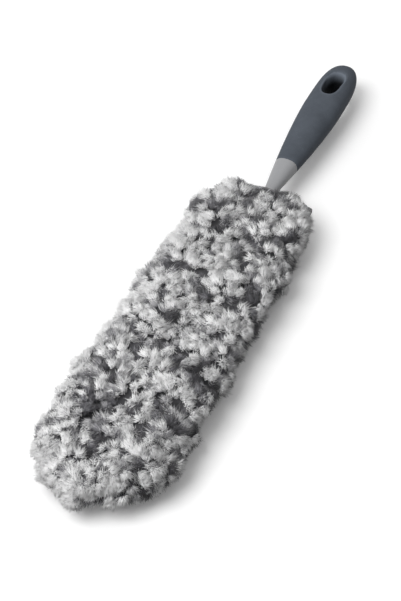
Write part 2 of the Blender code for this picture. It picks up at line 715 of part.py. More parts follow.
def sleeve_void():
    """What the pile leaves free: the knit and its hem with a seat gap, out to the overlocked edge."""

    def hem_height(x, y):
        return pocket_height(x, HEM_REAR_Y)

    step = HEM_Y - SEAT_GAP
    knit = sleeve_stations(step)
    turns = [0.25, 1, 1.5]
    front = [tip_point(math.pi / 2 * turn / TIP_STEPS, PILE_SPLIT)[1] for turn in turns]
    front = [y for y in front if y < knit[0] - SEAT_GAP]
    over_knit = KNIT_THICKNESS + SEAT_GAP
    over_hem = HEM_THICKNESS + SEAT_GAP
    rear = [step, PILE_REAR_Y + CUTTER_REACH]
    rings = []
    for stations, height, over in ((front + knit, pocket_height, over_knit), (rear, hem_height, over_hem)):
        rings += sheet_rings(stations, height, lambda z: -z - over, lambda z: z + over, rim=True)
    return add_object("sleeve_void", loft("sleeve_void", rings))


def split_wall():
    """The parting between the pile of the two panels and the pile of the edges, following the outline."""
    inner, outer = PILE_SPLIT - SEAT_GAP, PILE_SPLIT
    angles = [math.pi / 2 * k / TIP_STEPS for k in range(TIP_STEPS, -1, -1)]
    end = PILE_REAR_Y + CUTTER_REACH
    right = [((FRAME_WIDTH / 2 + inner, end), (FRAME_WIDTH / 2 + outer, end))]
    right += [(tip_point(a, inner), tip_point(a, outer)) for a in angles]
    left = [tuple((-x, y) for x, y in pair) for pair in reversed(right[:-1])]
    low, high = -CUTTER_REACH, AXIS_Z + PILE_TOP + CUTTER_REACH
    rings = []
    for (ax, ay), (bx, by) in right + left:
        rings.append([(ax, ay, low), (bx, by, low), (bx, by, high), (ax, ay, high)])
    return add_object("split_wall", loft("split_wall", rings))


def separate_bodies(work):
    """The faces of each body in a mesh, found by walking from face to face over their edges."""
    bodies, waiting = [], set(work.faces)
    while waiting:
        seed = min(waiting, key=lambda face: face.index)
        body, frontier = {seed}, [seed]
        while frontier:
            for edge in frontier.pop().edges:
                fresh = [face for face in edge.link_faces if face not in body]
                body.update(fresh)
                frontier += fresh
        bodies.append(sorted(body, key=lambda face: face.index))
        waiting -= body
    return bodies


def make_pile():
    """Cuts the pile into its five pieces and names each by where it lies."""
    body = pile_body()
    carve(body, sleeve_void())
    carve(body, split_wall())
    split_y = FRAME_TIP_Y + FRAME_TIP_ROUNDING
    inner = FRAME_WIDTH / 2 + PILE_SPLIT - SEAT_GAP / 2
    outer = PILE_HALF_WIDTH + CUTTER_REACH
    top = AXIS_Z + PILE_TOP + CUTTER_REACH
    for name, low, high in (("left_parting", -outer, -inner), ("right_parting", inner, outer)):
        corner = (low, split_y - SEAT_GAP / 2, -CUTTER_REACH)
        carve(body, box(name, corner, (high, split_y + SEAT_GAP / 2, top)))
    bpy.context.view_layer.update()
    cut = bpy.data.meshes.new_from_object(body.evaluated_get(bpy.context.evaluated_depsgraph_get()))
    as_cutter(body)
    work = bmesh.new()
    work.from_mesh(cut)
    bmesh.ops.remove_doubles(work, verts=work.verts, dist=1e-7)
    bmesh.ops.dissolve_limit(work, angle_limit=math.radians(0.2), verts=work.verts, edges=work.edges)
    work.faces.index_update()
    work.verts.index_update()
    pieces = {}
    for faces in separate_bodies(work):
        corners = sorted({vert for face in faces for vert in face.verts}, key=lambda vert: vert.index)
        place = {vert: k for k, vert in enumerate(corners)}
        points = np.array([tuple(vert.co) for vert in corners])
        outlines = [tuple(place[vert] for vert in face.verts) for face in faces]
        pieces.setdefault(pile_name(points), []).append((points, outlines))
    work.free()
    for name, found in pieces.items():
        points, faces = max(found, key=lambda piece: float(np.prod(np.ptp(piece[0], axis=0))))
        add_object(name, mesh_from(name, points, faces), YARN)


def pile_name(points):
    """Which piece of the pile a set of points is."""
    low, high = points.min(axis=0), points.max(axis=0)
    inner = FRAME_WIDTH / 2 + PILE_SPLIT - SEAT_GAP / 2
    if low[0] > 0 and high[0] > inner:
        return "right_edge_pile"
    if high[0] < 0 and low[0] < -inner:
        return "left_edge_pile"
    if low[2] > AXIS_Z - SEAT_GAP:
        return "upper_pile"
    if high[2] < AXIS_Z + SEAT_GAP:
        return "lower_pile"
    return "tip_pile"


def main():
    clear_scene()
    make_grip_cover()
    make_handle_core()
    make_frame_pins()
    make_flex_frame()
    make_backing("upper_backing", 1)
    make_backing("lower_backing", -1)
    make_edge_seam()
    make_mouth_hem()
    make_pile()


main()
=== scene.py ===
"""Looks of a flat microfiber hand duster, laid out as an add-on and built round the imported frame.

The frame is in metres with +Z up: the duster lies on its pile at z = 0, and +Y runs from the tip of
the head to the end of the grip. Every piece below is worked out with numpy in that same frame.
"""

import math

import bmesh
import bpy
import numpy as np
from bpy.props import FloatProperty, FloatVectorProperty, IntProperty, PointerProperty
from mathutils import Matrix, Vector


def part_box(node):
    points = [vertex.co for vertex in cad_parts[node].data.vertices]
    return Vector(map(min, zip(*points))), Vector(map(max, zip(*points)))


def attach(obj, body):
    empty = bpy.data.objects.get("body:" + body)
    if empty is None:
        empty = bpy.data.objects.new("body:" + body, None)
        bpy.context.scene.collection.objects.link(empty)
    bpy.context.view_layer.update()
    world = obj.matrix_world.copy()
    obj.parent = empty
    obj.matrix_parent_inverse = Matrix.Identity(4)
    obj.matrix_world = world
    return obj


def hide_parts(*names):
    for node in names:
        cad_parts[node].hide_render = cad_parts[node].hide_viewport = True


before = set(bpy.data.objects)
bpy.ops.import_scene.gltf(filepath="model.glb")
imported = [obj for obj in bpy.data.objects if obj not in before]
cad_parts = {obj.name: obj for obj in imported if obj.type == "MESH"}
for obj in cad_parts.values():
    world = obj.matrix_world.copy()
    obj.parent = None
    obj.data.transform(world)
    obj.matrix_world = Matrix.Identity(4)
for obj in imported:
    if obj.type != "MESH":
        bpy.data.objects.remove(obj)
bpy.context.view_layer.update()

bl_info = {
    "name": "Microfiber Hand Duster",
    "version": (1, 0, 0),
    "blender": (4, 5, 0),
    "location": "View3D > Sidebar > Duster",
    "description": "Builds the tufted sleeve, the rubber grip and the stage of a hand duster",
    "category": "Object",
}

# Clearances between the solids, as the frame was built with
SEAT_GAP = 0.0003
PIN_CLEARANCE = 0.0001

# Plan of the head, read from the flexible frame that carries it
FRAME_LOW, FRAME_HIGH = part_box("flex_frame")
FRAME_HALF = FRAME_HIGH[0]
FRAME_TIP_Y = FRAME_LOW[1]
AXIS_Z = (FRAME_LOW[2] + FRAME_HIGH[2]) / 2
TIP_ROUNDING = 0.030
ROUNDING_Y = FRAME_TIP_Y + TIP_ROUNDING

# Layers of the sleeve, as distances outwards from the frame's outline
POCKET_EDGE = 0.0040
KNIT_EDGE = 0.0055
OVERLOCK_MIDDLE = 0.0064
PILE_SPLIT = 0.0073
PILE_EDGE = 0.0183

# Heights inside the sleeve
POCKET_HEIGHT = 0.0026
POCKET_SLOPE = 0.0035
KNIT_THICKNESS = 0.0012
MOUTH_BULGE = 0.0040
MOUTH_BULGE_HALF = 0.024
MOUTH_BULGE_RUN = 0.045
HEM_THICKNESS = 0.0026

# Stations along Y, read from the frame's solids
SOCKET_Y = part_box("handle_core")[0][1]
COLLAR_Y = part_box("grip_cover")[0][1]
END_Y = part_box("grip_cover")[1][1]
HEM_Y, HEM_REAR_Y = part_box("mouth_hem")[0][1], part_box("mouth_hem")[1][1]
PILE_REAR_Y = HEM_REAR_Y + 0.003
PILE_TIP_Y = ROUNDING_Y - (TIP_ROUNDING + PILE_EDGE)

# Pile
PILE_HALF = FRAME_HALF + PILE_EDGE
MOUTH_TAPER = 0.060
MOUTH_SQUARENESS = 4.0
TIP_FULLNESS, MOUTH_FULLNESS = 1.00, 0.94
TIP_RISE, TIP_SLANT, TIP_SLANT_HALF = 0.40, 0.0055, 0.032
MOUTH_FALL = 0.20
TUFT_SIZES = (0.88, 1.06)
NECK_DENT, NECK_DENT_HALF, NECK_DENT_RUN = 0.34, 0.012, 0.032
TOP_SQUARENESS = 2.6
BASE_SQUARENESS = 3.4
SWELL_POWER = 0.6

# Girth of a section of the pile, as a factor of its half width and a share of its height
GIRTH_FACTOR, GIRTH_HEIGHT_SHARE = 5.08, 0.35

# Random fields over the pile: how many waves each adds up, and their shortest and longest
WAVE_COUNT = 12
SLOW_WAVES, QUICK_WAVES, LUMP_WAVES = (0.020, 0.050), (0.008, 0.015), (0.016, 0.034)
SWEEP_WAVES, GROUND_WAVES = (0.012, 0.030), (0.005, 0.013)

# Dye of a tuft, from the slow field, the quick field and its own draw, and painted shade: at the neck, low on
# the sides and towards the strands' roots
SLOW_DYE, QUICK_DYE, OWN_DYE = 0.35, 0.55, 0.80
NECK_SHADE, NECK_SHADE_HALF = 1.4, 1.6 * NECK_DENT_HALF
SIDE_SHADE_RUN, SIDE_SHADE_START = 0.7 * AXIS_Z, 0.55
TONE_SPREAD = 0.05
ROOT_TONE, MIDDLE_TONE = (0.10, 0.40), 0.85

# Form of a tuft: deviations of its random draws, and the least and the most of their ranges
STAND_SPREAD, SWEEP_SPREAD, AIM_SPREAD = 0.0007, 0.55, 0.12
PLACE_SPREAD, TURN_SPREAD = 0.0009, 0.02
DROOP = (0.0, 0.0, -0.5)
HEART_DEPTH, LIGHT_RISE, LIGHT_LEAN, BUNDLE_TILT = 0.92, 0.10, 0.2, 0.3
TUFT_RANGE, BUNDLE_RANGE = (0.85, 1.15), (0.85, 1.20)
BUNDLE_LENGTHS, STRAND_LENGTHS, OUTER_SHORTENING = (0.86, 1.08), (0.76, 1.10), 0.12

# Stations of a strand: share of its length, spread of its bundle, and how much of its stray it has
STATIONS = ((0.22, 0.45, 0.0), (0.62, 1.0, 0.5), (1.0, 0.85, 1.0))
STATION_WIDTHS = (0.95, 1.0, 0.0)

# Room that the tufts leave at the floor and round the hem
FLOOR_ROOM, HEM_ROOM, SIDE_ROOM = 0.0004, 0.0006, 0.002
HEM_LEAD, HEM_LEAD_RUN = 0.010, 0.008
HEM_CLEAR, MOUTH_CLEAR = 0.001, 0.002

# Ground shell of the pile
GROUND_END_Y = PILE_REAR_Y - 0.0035
GROUND_SINK, GROUND_MOST, GROUND_LUMPS = 0.95, 0.9, 0.0006
GROUND_FLOOR = 0.0030
GROUND_POWER = 0.35

# Cloth: crowding of the knit's rows at the tip, its narrowest row, and the hem's stitches and ruffles
ROW_CROWDING, NARROWEST_ROW = 0.35, 0.0008
MOUTH_STEPS = 320
STITCH_ROW = ((0.0, 0.0), (0.0, 0.0028), (0.00018, 0.0032), (0.0, 0.0036))
ELASTIC_WIDTH, ELASTIC_THICKNESS = 0.004, 0.0008
RUFFLE, RUFFLE_RUN, RUFFLE_RISE = 0.00022, 0.005, 0.6
WIDE_GATHERS, FINE_GATHERS = 23, 54
RIB, RIBS = 0.00008, 160

# Handle
SOCKET_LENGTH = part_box("rear_frame_pin")[1][1] + 0.009 - SOCKET_Y
SOCKET_HALF_X, SOCKET_HALF_Z = 0.009, 0.0048
SOCKET_SQUARENESS = 5.0
SOCKET_BLEND = 0.010
SLOT_HALF_X, SLOT_HALF_Z = 0.00605, 0.0023
SLOT_SQUARENESS = 16.0
SLOT_END_Y = FRAME_HIGH[1] + SEAT_GAP
NECK_Y = SOCKET_Y + SOCKET_LENGTH + SOCKET_BLEND
NECK_HALF_X, NECK_HALF_Z = 0.0041, 0.0034
BELLY_HALF_X, BELLY_HALF_Z = 0.0142, 0.0115
BELLY_Y = END_Y - 0.0555
HALF_WIDTHS, HALF_HEIGHTS = (BELLY_HALF_X, NECK_HALF_X), (BELLY_HALF_Z, NECK_HALF_Z)
NECK_SWELL = 1.5
END_BLUNTNESS = 4.3
GRIP_SQUARENESS = 2.3
RUBBER_WALL = 0.0026

# Hanging hole
HOLE_Y = END_Y - 0.0339
HOLE_HALF_X, HOLE_HALF_Y = 0.0062, 0.0146
HOLE_SQUARENESS = 2.5
HOLE_LINING = 0.0020
HOLE_FRONT_Y = HOLE_Y - 0.0230

# Wear of the grip: where it lies round the hole and the collar, how far it fades, and how strong it is; then
# where the painted light on the hole's far wall and the painted shade deep in the hole lie
RIM_OUTSET, RIM_FADE, RIM_HEIGHT, RIM_WEAR = 0.0010, 0.0016, 0.008, 0.38
COLLAR_FADE, COLLAR_WEAR = 0.0009, 0.6
WALL_LIGHT_SPREAD, WALL_LIGHT_DEPTH, WALL_LIGHT_RUN = 1.4, 0.004, 0.012
WALL_OUTSET, HOLE_SHADE_HEIGHT, HOLE_SHADE_RUN = 0.0016, 0.0065, 0.0075

# Stage: half the floor's side, the side the soft light comes from, the lamp, and what the camera looks at
FLOOR_HALF = 4.0
SKY_SIDE = (-0.62, -0.40, 0.68)
LAMP_TARGET, LAMP_SIDE = (0.0, -0.03, 0.02), (-0.30, -0.58, 1.0)
LAMP_DISTANCE, LAMP_SIZE = 2.0, 1.3
CAMERA_TARGET = (-0.0082, -0.0294, 0.0)

GOLDEN_ANGLE = math.pi * (3.0 - math.sqrt(5.0))
WHITE = (1.0, 1.0, 1.0, 1.0)


def smoothstep(value):
    """3 v^2 - 2 v^3 of the value held between 0 and 1."""
    value = np.clip(value, 0.0, 1.0)
    return value * value * (3.0 - 2.0 * value)


def unit(vectors):
    """Each vector divided by its length."""
    return vectors / np.maximum(np.linalg.norm(vectors, axis=-1, keepdims=True), 1e-12)


def signed_power(value, power):
    return np.sign(value) * np.abs(value) ** power


def arc_length(x, y):
    """Length along a line of points up to each of them."""
    return np.concatenate([[0.0], np.cumsum(np.hypot(np.diff(x), np.diff(y)))])


# Meshes


def quad_grid(rows, columns):
    """Faces of a grid of points, each row joined to the next and round on itself."""
    row, column = np.meshgrid(np.arange(rows - 1), np.arange(columns), indexing="ij")
    here, after = row * columns + column, row * columns + (column + 1) % columns
    return np.stack([here, after, after + columns, here + columns], axis=-1).reshape(-1, 4)


def mark(mesh, attributes):
    """Writes named attributes to a mesh, each an array of one number for each point."""
    for label, values in attributes.items():
        layer = mesh.attributes.new(label, "FLOAT", "POINT")
        layer.data.foreach_set("value", np.asarray(values, dtype=np.float32).ravel())


def piece_from(name, points, faces, attributes=None, weld=True, normals=None):
    """A piece at the origin from points and a list of face arrays, with its seams and poles welded.

    Normals given for the points shade the piece in place of the normals of its facets.
    """
    mesh = bpy.data.meshes.new(name)
    points = np.ascontiguousarray(points, dtype=np.float32).reshape(-1, 3)
    corners = np.concatenate([np.ravel(block) for block in faces]).astype(np.int32)
    sizes = np.concatenate([np.full(len(block), block.shape[1]) for block in faces])
    starts = np.concatenate([[0], np.cumsum(sizes)[:-1]]).astype(np.int32)
    mesh.vertices.add(len(points))
    mesh.vertices.foreach_set("co", points.ravel())
    mesh.loops.add(len(corners))
    mesh.loops.foreach_set("vertex_index", corners)
    mesh.polygons.add(len(sizes))
    mesh.polygons.foreach_set("loop_start", starts)
    mesh.update(calc_edges=True)
    mark(mesh, attributes or {})
    if weld:
        work = bmesh.new()
        work.from_mesh(mesh)
        bmesh.ops.remove_doubles(work, verts=work.verts, dist=2e-6)
        bmesh.ops.recalc_face_normals(work, faces=work.faces)
        work.to_mesh(mesh)
        work.free()
    mesh.polygons.foreach_set("use_smooth", np.ones(len(mesh.polygons), dtype=bool))
    mesh.update()
    if normals is not None:
        mesh.normals_split_custom_set_from_vertices(normals.reshape(-1, 3).tolist())
    piece = bpy.data.objects.new(name, mesh)
    bpy.context.scene.collection.objects.link(piece)
    return piece


def dressed(piece, material, body, slot, *nodes):
    """Gives a piece its material and its body, and hides the CAD nodes that it stands for. The slot is not
    used.
    """
    piece.data.materials.clear()
    piece.data.materials.append(material)
    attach(piece, body)
    if nodes:
        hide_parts(*nodes)
    return piece


# Materials


class Paint:
    """A Principled material and short calls that add nodes to it."""

    def __init__(self, name, constants):
        self.material = bpy.data.materials.new(name)
        self.material.use_nodes = True
        self.tree = self.material.node_tree
        self.shader = self.tree.nodes["Principled BSDF"]
        for label, value in constants.items():
            self.shader.inputs[label].default_value = value

    def add(self, kind, inputs=(), **settings):
        """A node with its settings, whose inputs are linked to sockets or set to values."""
        node = self.tree.nodes.new(kind)
        for label, value in settings.items():
            setattr(node, label, value)
        for label, value in dict(inputs).items():
            if isinstance(value, bpy.types.NodeSocket):
                self.tree.links.new(value, node.inputs[label])
            else:
                node.inputs[label].default_value = value
        return node

    def place(self, scale=(1.0, 1.0, 1.0), turn=(0.0, 0.0, 0.0)):
        """Object coordinates, stretched and turned."""
        where = self.add("ShaderNodeTexCoord").outputs["Object"]
        inputs = {"Vector": where, "Scale": scale, "Rotation": turn}
        return self.add("ShaderNodeMapping", inputs).outputs["Vector"]

    def attribute(self, name):
        return self.add("ShaderNodeAttribute", attribute_name=name).outputs["Fac"]

    def combine(self, operation, first, second, **settings):
        """Two values combined by a Math node, as by ADD or MULTIPLY."""
        return self.add("ShaderNodeMath", {0: first, 1: second}, operation=operation, **settings).outputs[0]

    def noise(self, where, scale, detail=3.0, roughness=0.55):
        inputs = {"Vector": where, "Scale": scale, "Detail": detail, "Roughness": roughness}
        return self.add("ShaderNodeTexNoise", inputs).outputs["Fac"]

    def ramp(self, factor, *stops):
        """A colour ramp through stops of (place, colour)."""
        node = self.add("ShaderNodeValToRGB", {"Fac": factor})
        while len(node.color_ramp.elements) < len(stops):
            node.color_ramp.elements.new(0.5)
        for element, (place, colour) in zip(node.color_ramp.elements, stops):
            element.position = place
            element.color = (*colour, 1.0)
        return node.outputs["Color"]

    def spread(self, factor, low, high, start=0.0, end=1.0):
        """The factor's range from start to end carried over to low to high."""
        inputs = {"Value": factor, "From Min": start, "From Max": end, "To Min": low, "To Max": high}
        return self.add("ShaderNodeMapRange", inputs).outputs["Result"]

    def mix(self, factor, first, second):
        """The first colour where the factor is 0 and the second where it is 1."""
        node = self.add("ShaderNodeMix", data_type="RGBA")
        for index, value in ((0, factor), (6, first), (7, second)):
            if isinstance(value, bpy.types.NodeSocket):
                self.tree.links.new(value, node.inputs[index])
            else:
                node.inputs[index].default_value = value if index == 0 else (*value, 1.0)
        return node.outputs[2]

    def bump(self, height, strength, distance, under=None):
        inputs = {"Height": height, "Strength": strength, "Distance": distance}
        if under is not None:
            inputs["Normal"] = under
        return self.add("ShaderNodeBump", inputs).outputs["Normal"]

    def drive(self, label, socket):
        self.tree.links.new(socket, self.shader.inputs[label])


def shade(colour, factor):
    return tuple(min(1.0, channel * factor) for channel in colour)


def yarn_finish(settings):
    """Space-dyed microfiber: each strand's tone runs from the dark yarn at its root to its own at the tip;
    the dark root is a painted shade between the tufts.
    """
    constants = {"Roughness": 0.85, "Sheen Weight": 0.25, "Sheen Roughness": 0.6, "Specular IOR Level": 0.2}
    paint = Paint("mottled_microfiber", constants)
    light, dark = tuple(settings.light_yarn), tuple(settings.dark_yarn)
    tone = paint.attribute("tone")
    patches = paint.noise(paint.place(), 160.0, 2.0)
    drift = paint.spread(patches, -0.10, 0.10, 0.3, 0.7)
    shifted = paint.combine("ADD", tone, drift, use_clamp=True)
    middle = tuple((a + b) / 2 for a, b in zip(light, dark))
    # The stop at 0, darker than the dark yarn, is a painted shade at the roots and on the pile's ground
    low = ((0.0, shade(dark, 0.28)), (0.20, dark), (0.6, middle))
    high = ((0.85, light), (1.0, shade(light, 1.05)))
    paint.drive("Base Color", paint.ramp(shifted, *low, *high))
    fuzz = paint.noise(paint.place(), 2400.0, 2.0)
    paint.drive("Normal", paint.bump(fuzz, 0.35, 0.0002))
    return paint.material


def rubber_finish(settings):
    """Soft-touch rubber: fine moulded grain, a faint cloudiness, edges paler from wear, a painted light on
    the hole's far wall and a painted shade deep in the hole.
    """
    rough = settings.roughness
    paint = Paint("slate_rubber_grain", {"Roughness": rough, "Specular IOR Level": 0.03})
    base = tuple(settings.colour)
    cloud = paint.noise(paint.place(), 55.0, 4.0, 0.6)
    body = paint.ramp(cloud, (0.30, shade(base, 0.86)), (0.70, shade(base, 1.14)))
    # Paler where there is wear, and a painted light on the hole's far wall
    worn_and_painted = paint.mix(paint.spread(paint.attribute("wear_and_painted_light"), 0.0, 0.70), body, shade(base, 2.1))
    # Painted shade: the hole's lining is darkened deep down, to near black
    worn_and_painted = paint.mix(paint.attribute("hole_painted_shade"), worn_and_painted, shade(base, 0.12))
    lint = paint.noise(paint.place(), 1500.0, 2.0, 0.7)
    speck = paint.spread(lint, 0.0, 0.18, 0.62, 0.80)
    paint.drive("Base Color", paint.mix(speck, worn_and_painted, (0.35, 0.37, 0.40)))
    grain = paint.noise(paint.place(), 3200.0, 3.0, 0.6)
    leather = paint.noise(paint.place(), 900.0, 2.0, 0.5)
    fine = paint.bump(grain, 0.30, 0.00012)
    paint.drive("Normal", paint.bump(leather, 0.18, 0.00015, fine))
    paint.drive("Roughness", paint.spread(cloud, rough - 0.06, rough + 0.06, 0.3, 0.7))
    return paint.material


def plastic_finish(settings):
    """Satin moulded plastic: spark-eroded grain, faint flow clouds, and fine scuffs along the handle."""
    rough = settings.roughness
    paint = Paint("satin_grey_plastic", {"Roughness": rough, "Specular IOR Level": 0.20})
    base = tuple(settings.colour)
    flow = paint.noise(paint.place((1.0, 0.25, 1.0)), 70.0, 3.0)
    body = paint.ramp(flow, (0.3, shade(base, 0.94)), (0.7, shade(base, 1.05)))
    scuffs = paint.noise(paint.place((1.0, 0.06, 1.0)), 1400.0, 2.0, 0.7)
    scuffed = paint.spread(scuffs, 0.0, 0.22, 0.60, 0.78)
    paint.drive("Base Color", paint.mix(scuffed, body, shade(base, 1.3)))
    grain = paint.noise(paint.place(), 4200.0, 2.0)
    paint.drive("Normal", paint.bump(grain, 0.16, 0.0001))
    paint.drive("Roughness", paint.spread(scuffs, rough - 0.05, rough + 0.10, 0.4, 0.75))
    return paint.material


def nylon_finish(settings):
    """Milky moulded nylon with flow lines along the rails, a waxy edge and light surface pitting."""
    waxy = {"Subsurface Weight": 0.15, "Subsurface Radius": (0.002, 0.002, 0.002)}
    paint = Paint("milky_nylon", {"Roughness": 0.42, **waxy})
    base = tuple(settings.nylon)
    flow = paint.noise(paint.place((1.0, 0.15, 1.0)), 90.0, 3.0)
    paint.drive("Base Color", paint.ramp(flow, (0.3, shade(base, 0.90)), (0.7, shade(base, 1.06))))
    pits = paint.noise(paint.place(), 2600.0, 2.0)
    paint.drive("Normal", paint.bump(pits, 0.14, 0.0001))
    paint.drive("Roughness", paint.spread(flow, 0.34, 0.52, 0.3, 0.7))
    return paint.material


def steel_finish(settings):
    """Cut pin steel: turned rings across the ends and drawn scratches down the sides."""
    paint = Paint("drawn_pin_steel", {"Roughness": 0.30, "Metallic": 1.0})
    base = tuple(settings.steel)
    drawn = paint.noise(paint.place((1.0, 1.0, 0.05)), 3000.0, 2.0, 0.7)
    paint.drive("Base Color", paint.ramp(drawn, (0.3, shade(base, 0.85)), (0.7, shade(base, 1.08))))
    paint.drive("Roughness", paint.spread(drawn, 0.22, 0.42, 0.3, 0.7))
    paint.drive("Normal", paint.bump(drawn, 0.12, 0.00005))
    return paint.material


def knit_finish(settings):
    """Warp knit: columns of loops along Y, crossed by slanting rows of loops, and loose fuzz."""
    paint = Paint("grey_warp_knit", {"Roughness": 0.92, "Sheen Weight": 0.3})
    base = tuple(settings.colour)
    scale = 2.0 * math.pi / settings.stitch / 20.0

    def bands(direction, where, distortion):
        inputs = {"Vector": where, "Scale": scale, "Distortion": distortion}
        wave = paint.add("ShaderNodeTexWave", inputs, wave_type="BANDS", bands_direction=direction)
        return wave.outputs["Fac"]

    columns = bands("X", paint.place(), 0.0)
    rows = bands("Y", paint.place(turn=(0.0, 0.0, 0.5)), 0.6)
    loops = paint.combine("MULTIPLY", columns, rows)
    fuzz = paint.noise(paint.place(), 1800.0, 3.0, 0.6)
    colour = paint.ramp(loops, (0.0, shade(base, 0.55)), (0.5, base), (1.0, shade(base, 1.25)))
    fuzzy = paint.spread(fuzz, 0.0, 0.35, 0.45, 0.8)
    paint.drive("Base Color", paint.mix(fuzzy, colour, shade(base, 1.4)))
    under = paint.bump(loops, 0.8, 0.0004)
    paint.drive("Normal", paint.bump(fuzz, 0.35, 0.0002, under))
    return paint.material


def thread_finish(name, base):
    """Spun thread: fine diagonal plies, a little fuzz and a soft sheen."""
    paint = Paint(name, {"Roughness": 0.8, "Sheen Weight": 0.3})
    plies = paint.noise(paint.place((1.0, 0.4, 1.0), (0.4, 0.3, 0.6)), 2200.0, 2.0, 0.6)
    paint.drive("Base Color", paint.ramp(plies, (0.3, shade(base, 0.72)), (0.7, shade(base, 1.12))))
    paint.drive("Normal", paint.bump(plies, 0.4, 0.0002))
    return paint.material


FINISHES = {}


def shared(key, finish, settings):
    """The material that finish makes from the settings, made once and then used again."""
    if key not in FINISHES:
        FINISHES[key] = finish(settings)
    return FINISHES[key]


# Plan and sections of the sleeve


def outline_half(y, outset):
    """Half width of the frame's outline moved outwards: straight sides and a tip sqrt(1 - back^2)."""
    back = np.clip((ROUNDING_Y - y) / (TIP_ROUNDING + outset), 0.0, 1.0)
    return (FRAME_HALF + outset) * np.sqrt(1.0 - back**2)


def outline_path(outset, end, count):
    """Points of that outline, evenly spaced from the right side at y = end round the tip to the left side."""
    turn = np.linspace(0.5 * math.pi, -0.5 * math.pi, 401)
    x = (FRAME_HALF + outset) * np.sin(turn)
    y = ROUNDING_Y - (TIP_ROUNDING + outset) * np.cos(turn)
    x = np.concatenate([[x[0]], x, [x[-1]]])
    y = np.concatenate([[end], y, [end]])
    length = arc_length(x, y)
    share = np.linspace(0.0, length[-1], count)
    return np.interp(share, length, x), np.interp(share, length, y)


def pocket_height(x, y):
    """Half height inside the sleeve: flat over the frame, sloped to the seams, bulged to the mouth."""
    half, rounding = FRAME_HALF + POCKET_EDGE, TIP_ROUNDING + POCKET_EDGE
    back = np.clip((ROUNDING_Y - y) / rounding, 0.0, 1.0)
    reach = np.sqrt((x / half) ** 2 + back**2)
    margin = (1.0 - reach) * (half + (rounding - half) * back**2 / np.maximum(reach**2, 1e-9))
    flat = POCKET_HEIGHT * smoothstep(margin / POCKET_SLOPE)
    grow = smoothstep((y - (SOCKET_Y - MOUTH_BULGE_RUN)) / (MOUTH_BULGE_RUN - 0.004))
    across = np.clip(np.abs(x) / MOUTH_BULGE_HALF, 0.0, 1.0)
    return np.maximum(flat + MOUTH_BULGE * grow * (1.0 - across**2) ** 2, SEAT_GAP / 2)


def pile_half_width(y):
    """Plan of the pile: the outline's elliptic tip, and a squarer taper (1 - run^4)^(1/4) to the mouth.

    The yarn at the edges thins out evenly from the tip to the mouth.
    """
    run = np.clip((y - (PILE_REAR_Y - MOUTH_TAPER)) / MOUTH_TAPER, 0.0, 1.0)
    share = np.clip((y - PILE_TIP_Y) / (PILE_REAR_Y - PILE_TIP_Y), 0.0, 1.0)
    fullness = TIP_FULLNESS + (MOUTH_FULLNESS - TIP_FULLNESS) * share
    taper = (1.0 - run**MOUTH_SQUARENESS) ** (1.0 / MOUTH_SQUARENESS)
    return outline_half(y, PILE_EDGE) * taper * fullness


def near_neck(x, y, half):
    """1 where the neck comes out of the pile, fading as exp(-(x / half)^2) to its sides."""
    run = smoothstep((y - (PILE_REAR_Y - NECK_DENT_RUN)) / NECK_DENT_RUN)
    return run * np.exp(-((x / half) ** 2))


def tuft_size(y):
    """Size of the tufts over their mean: a little finer at the tip than at the mouth."""
    return np.interp(y, (PILE_TIP_Y, PILE_REAR_Y), TUFT_SIZES)


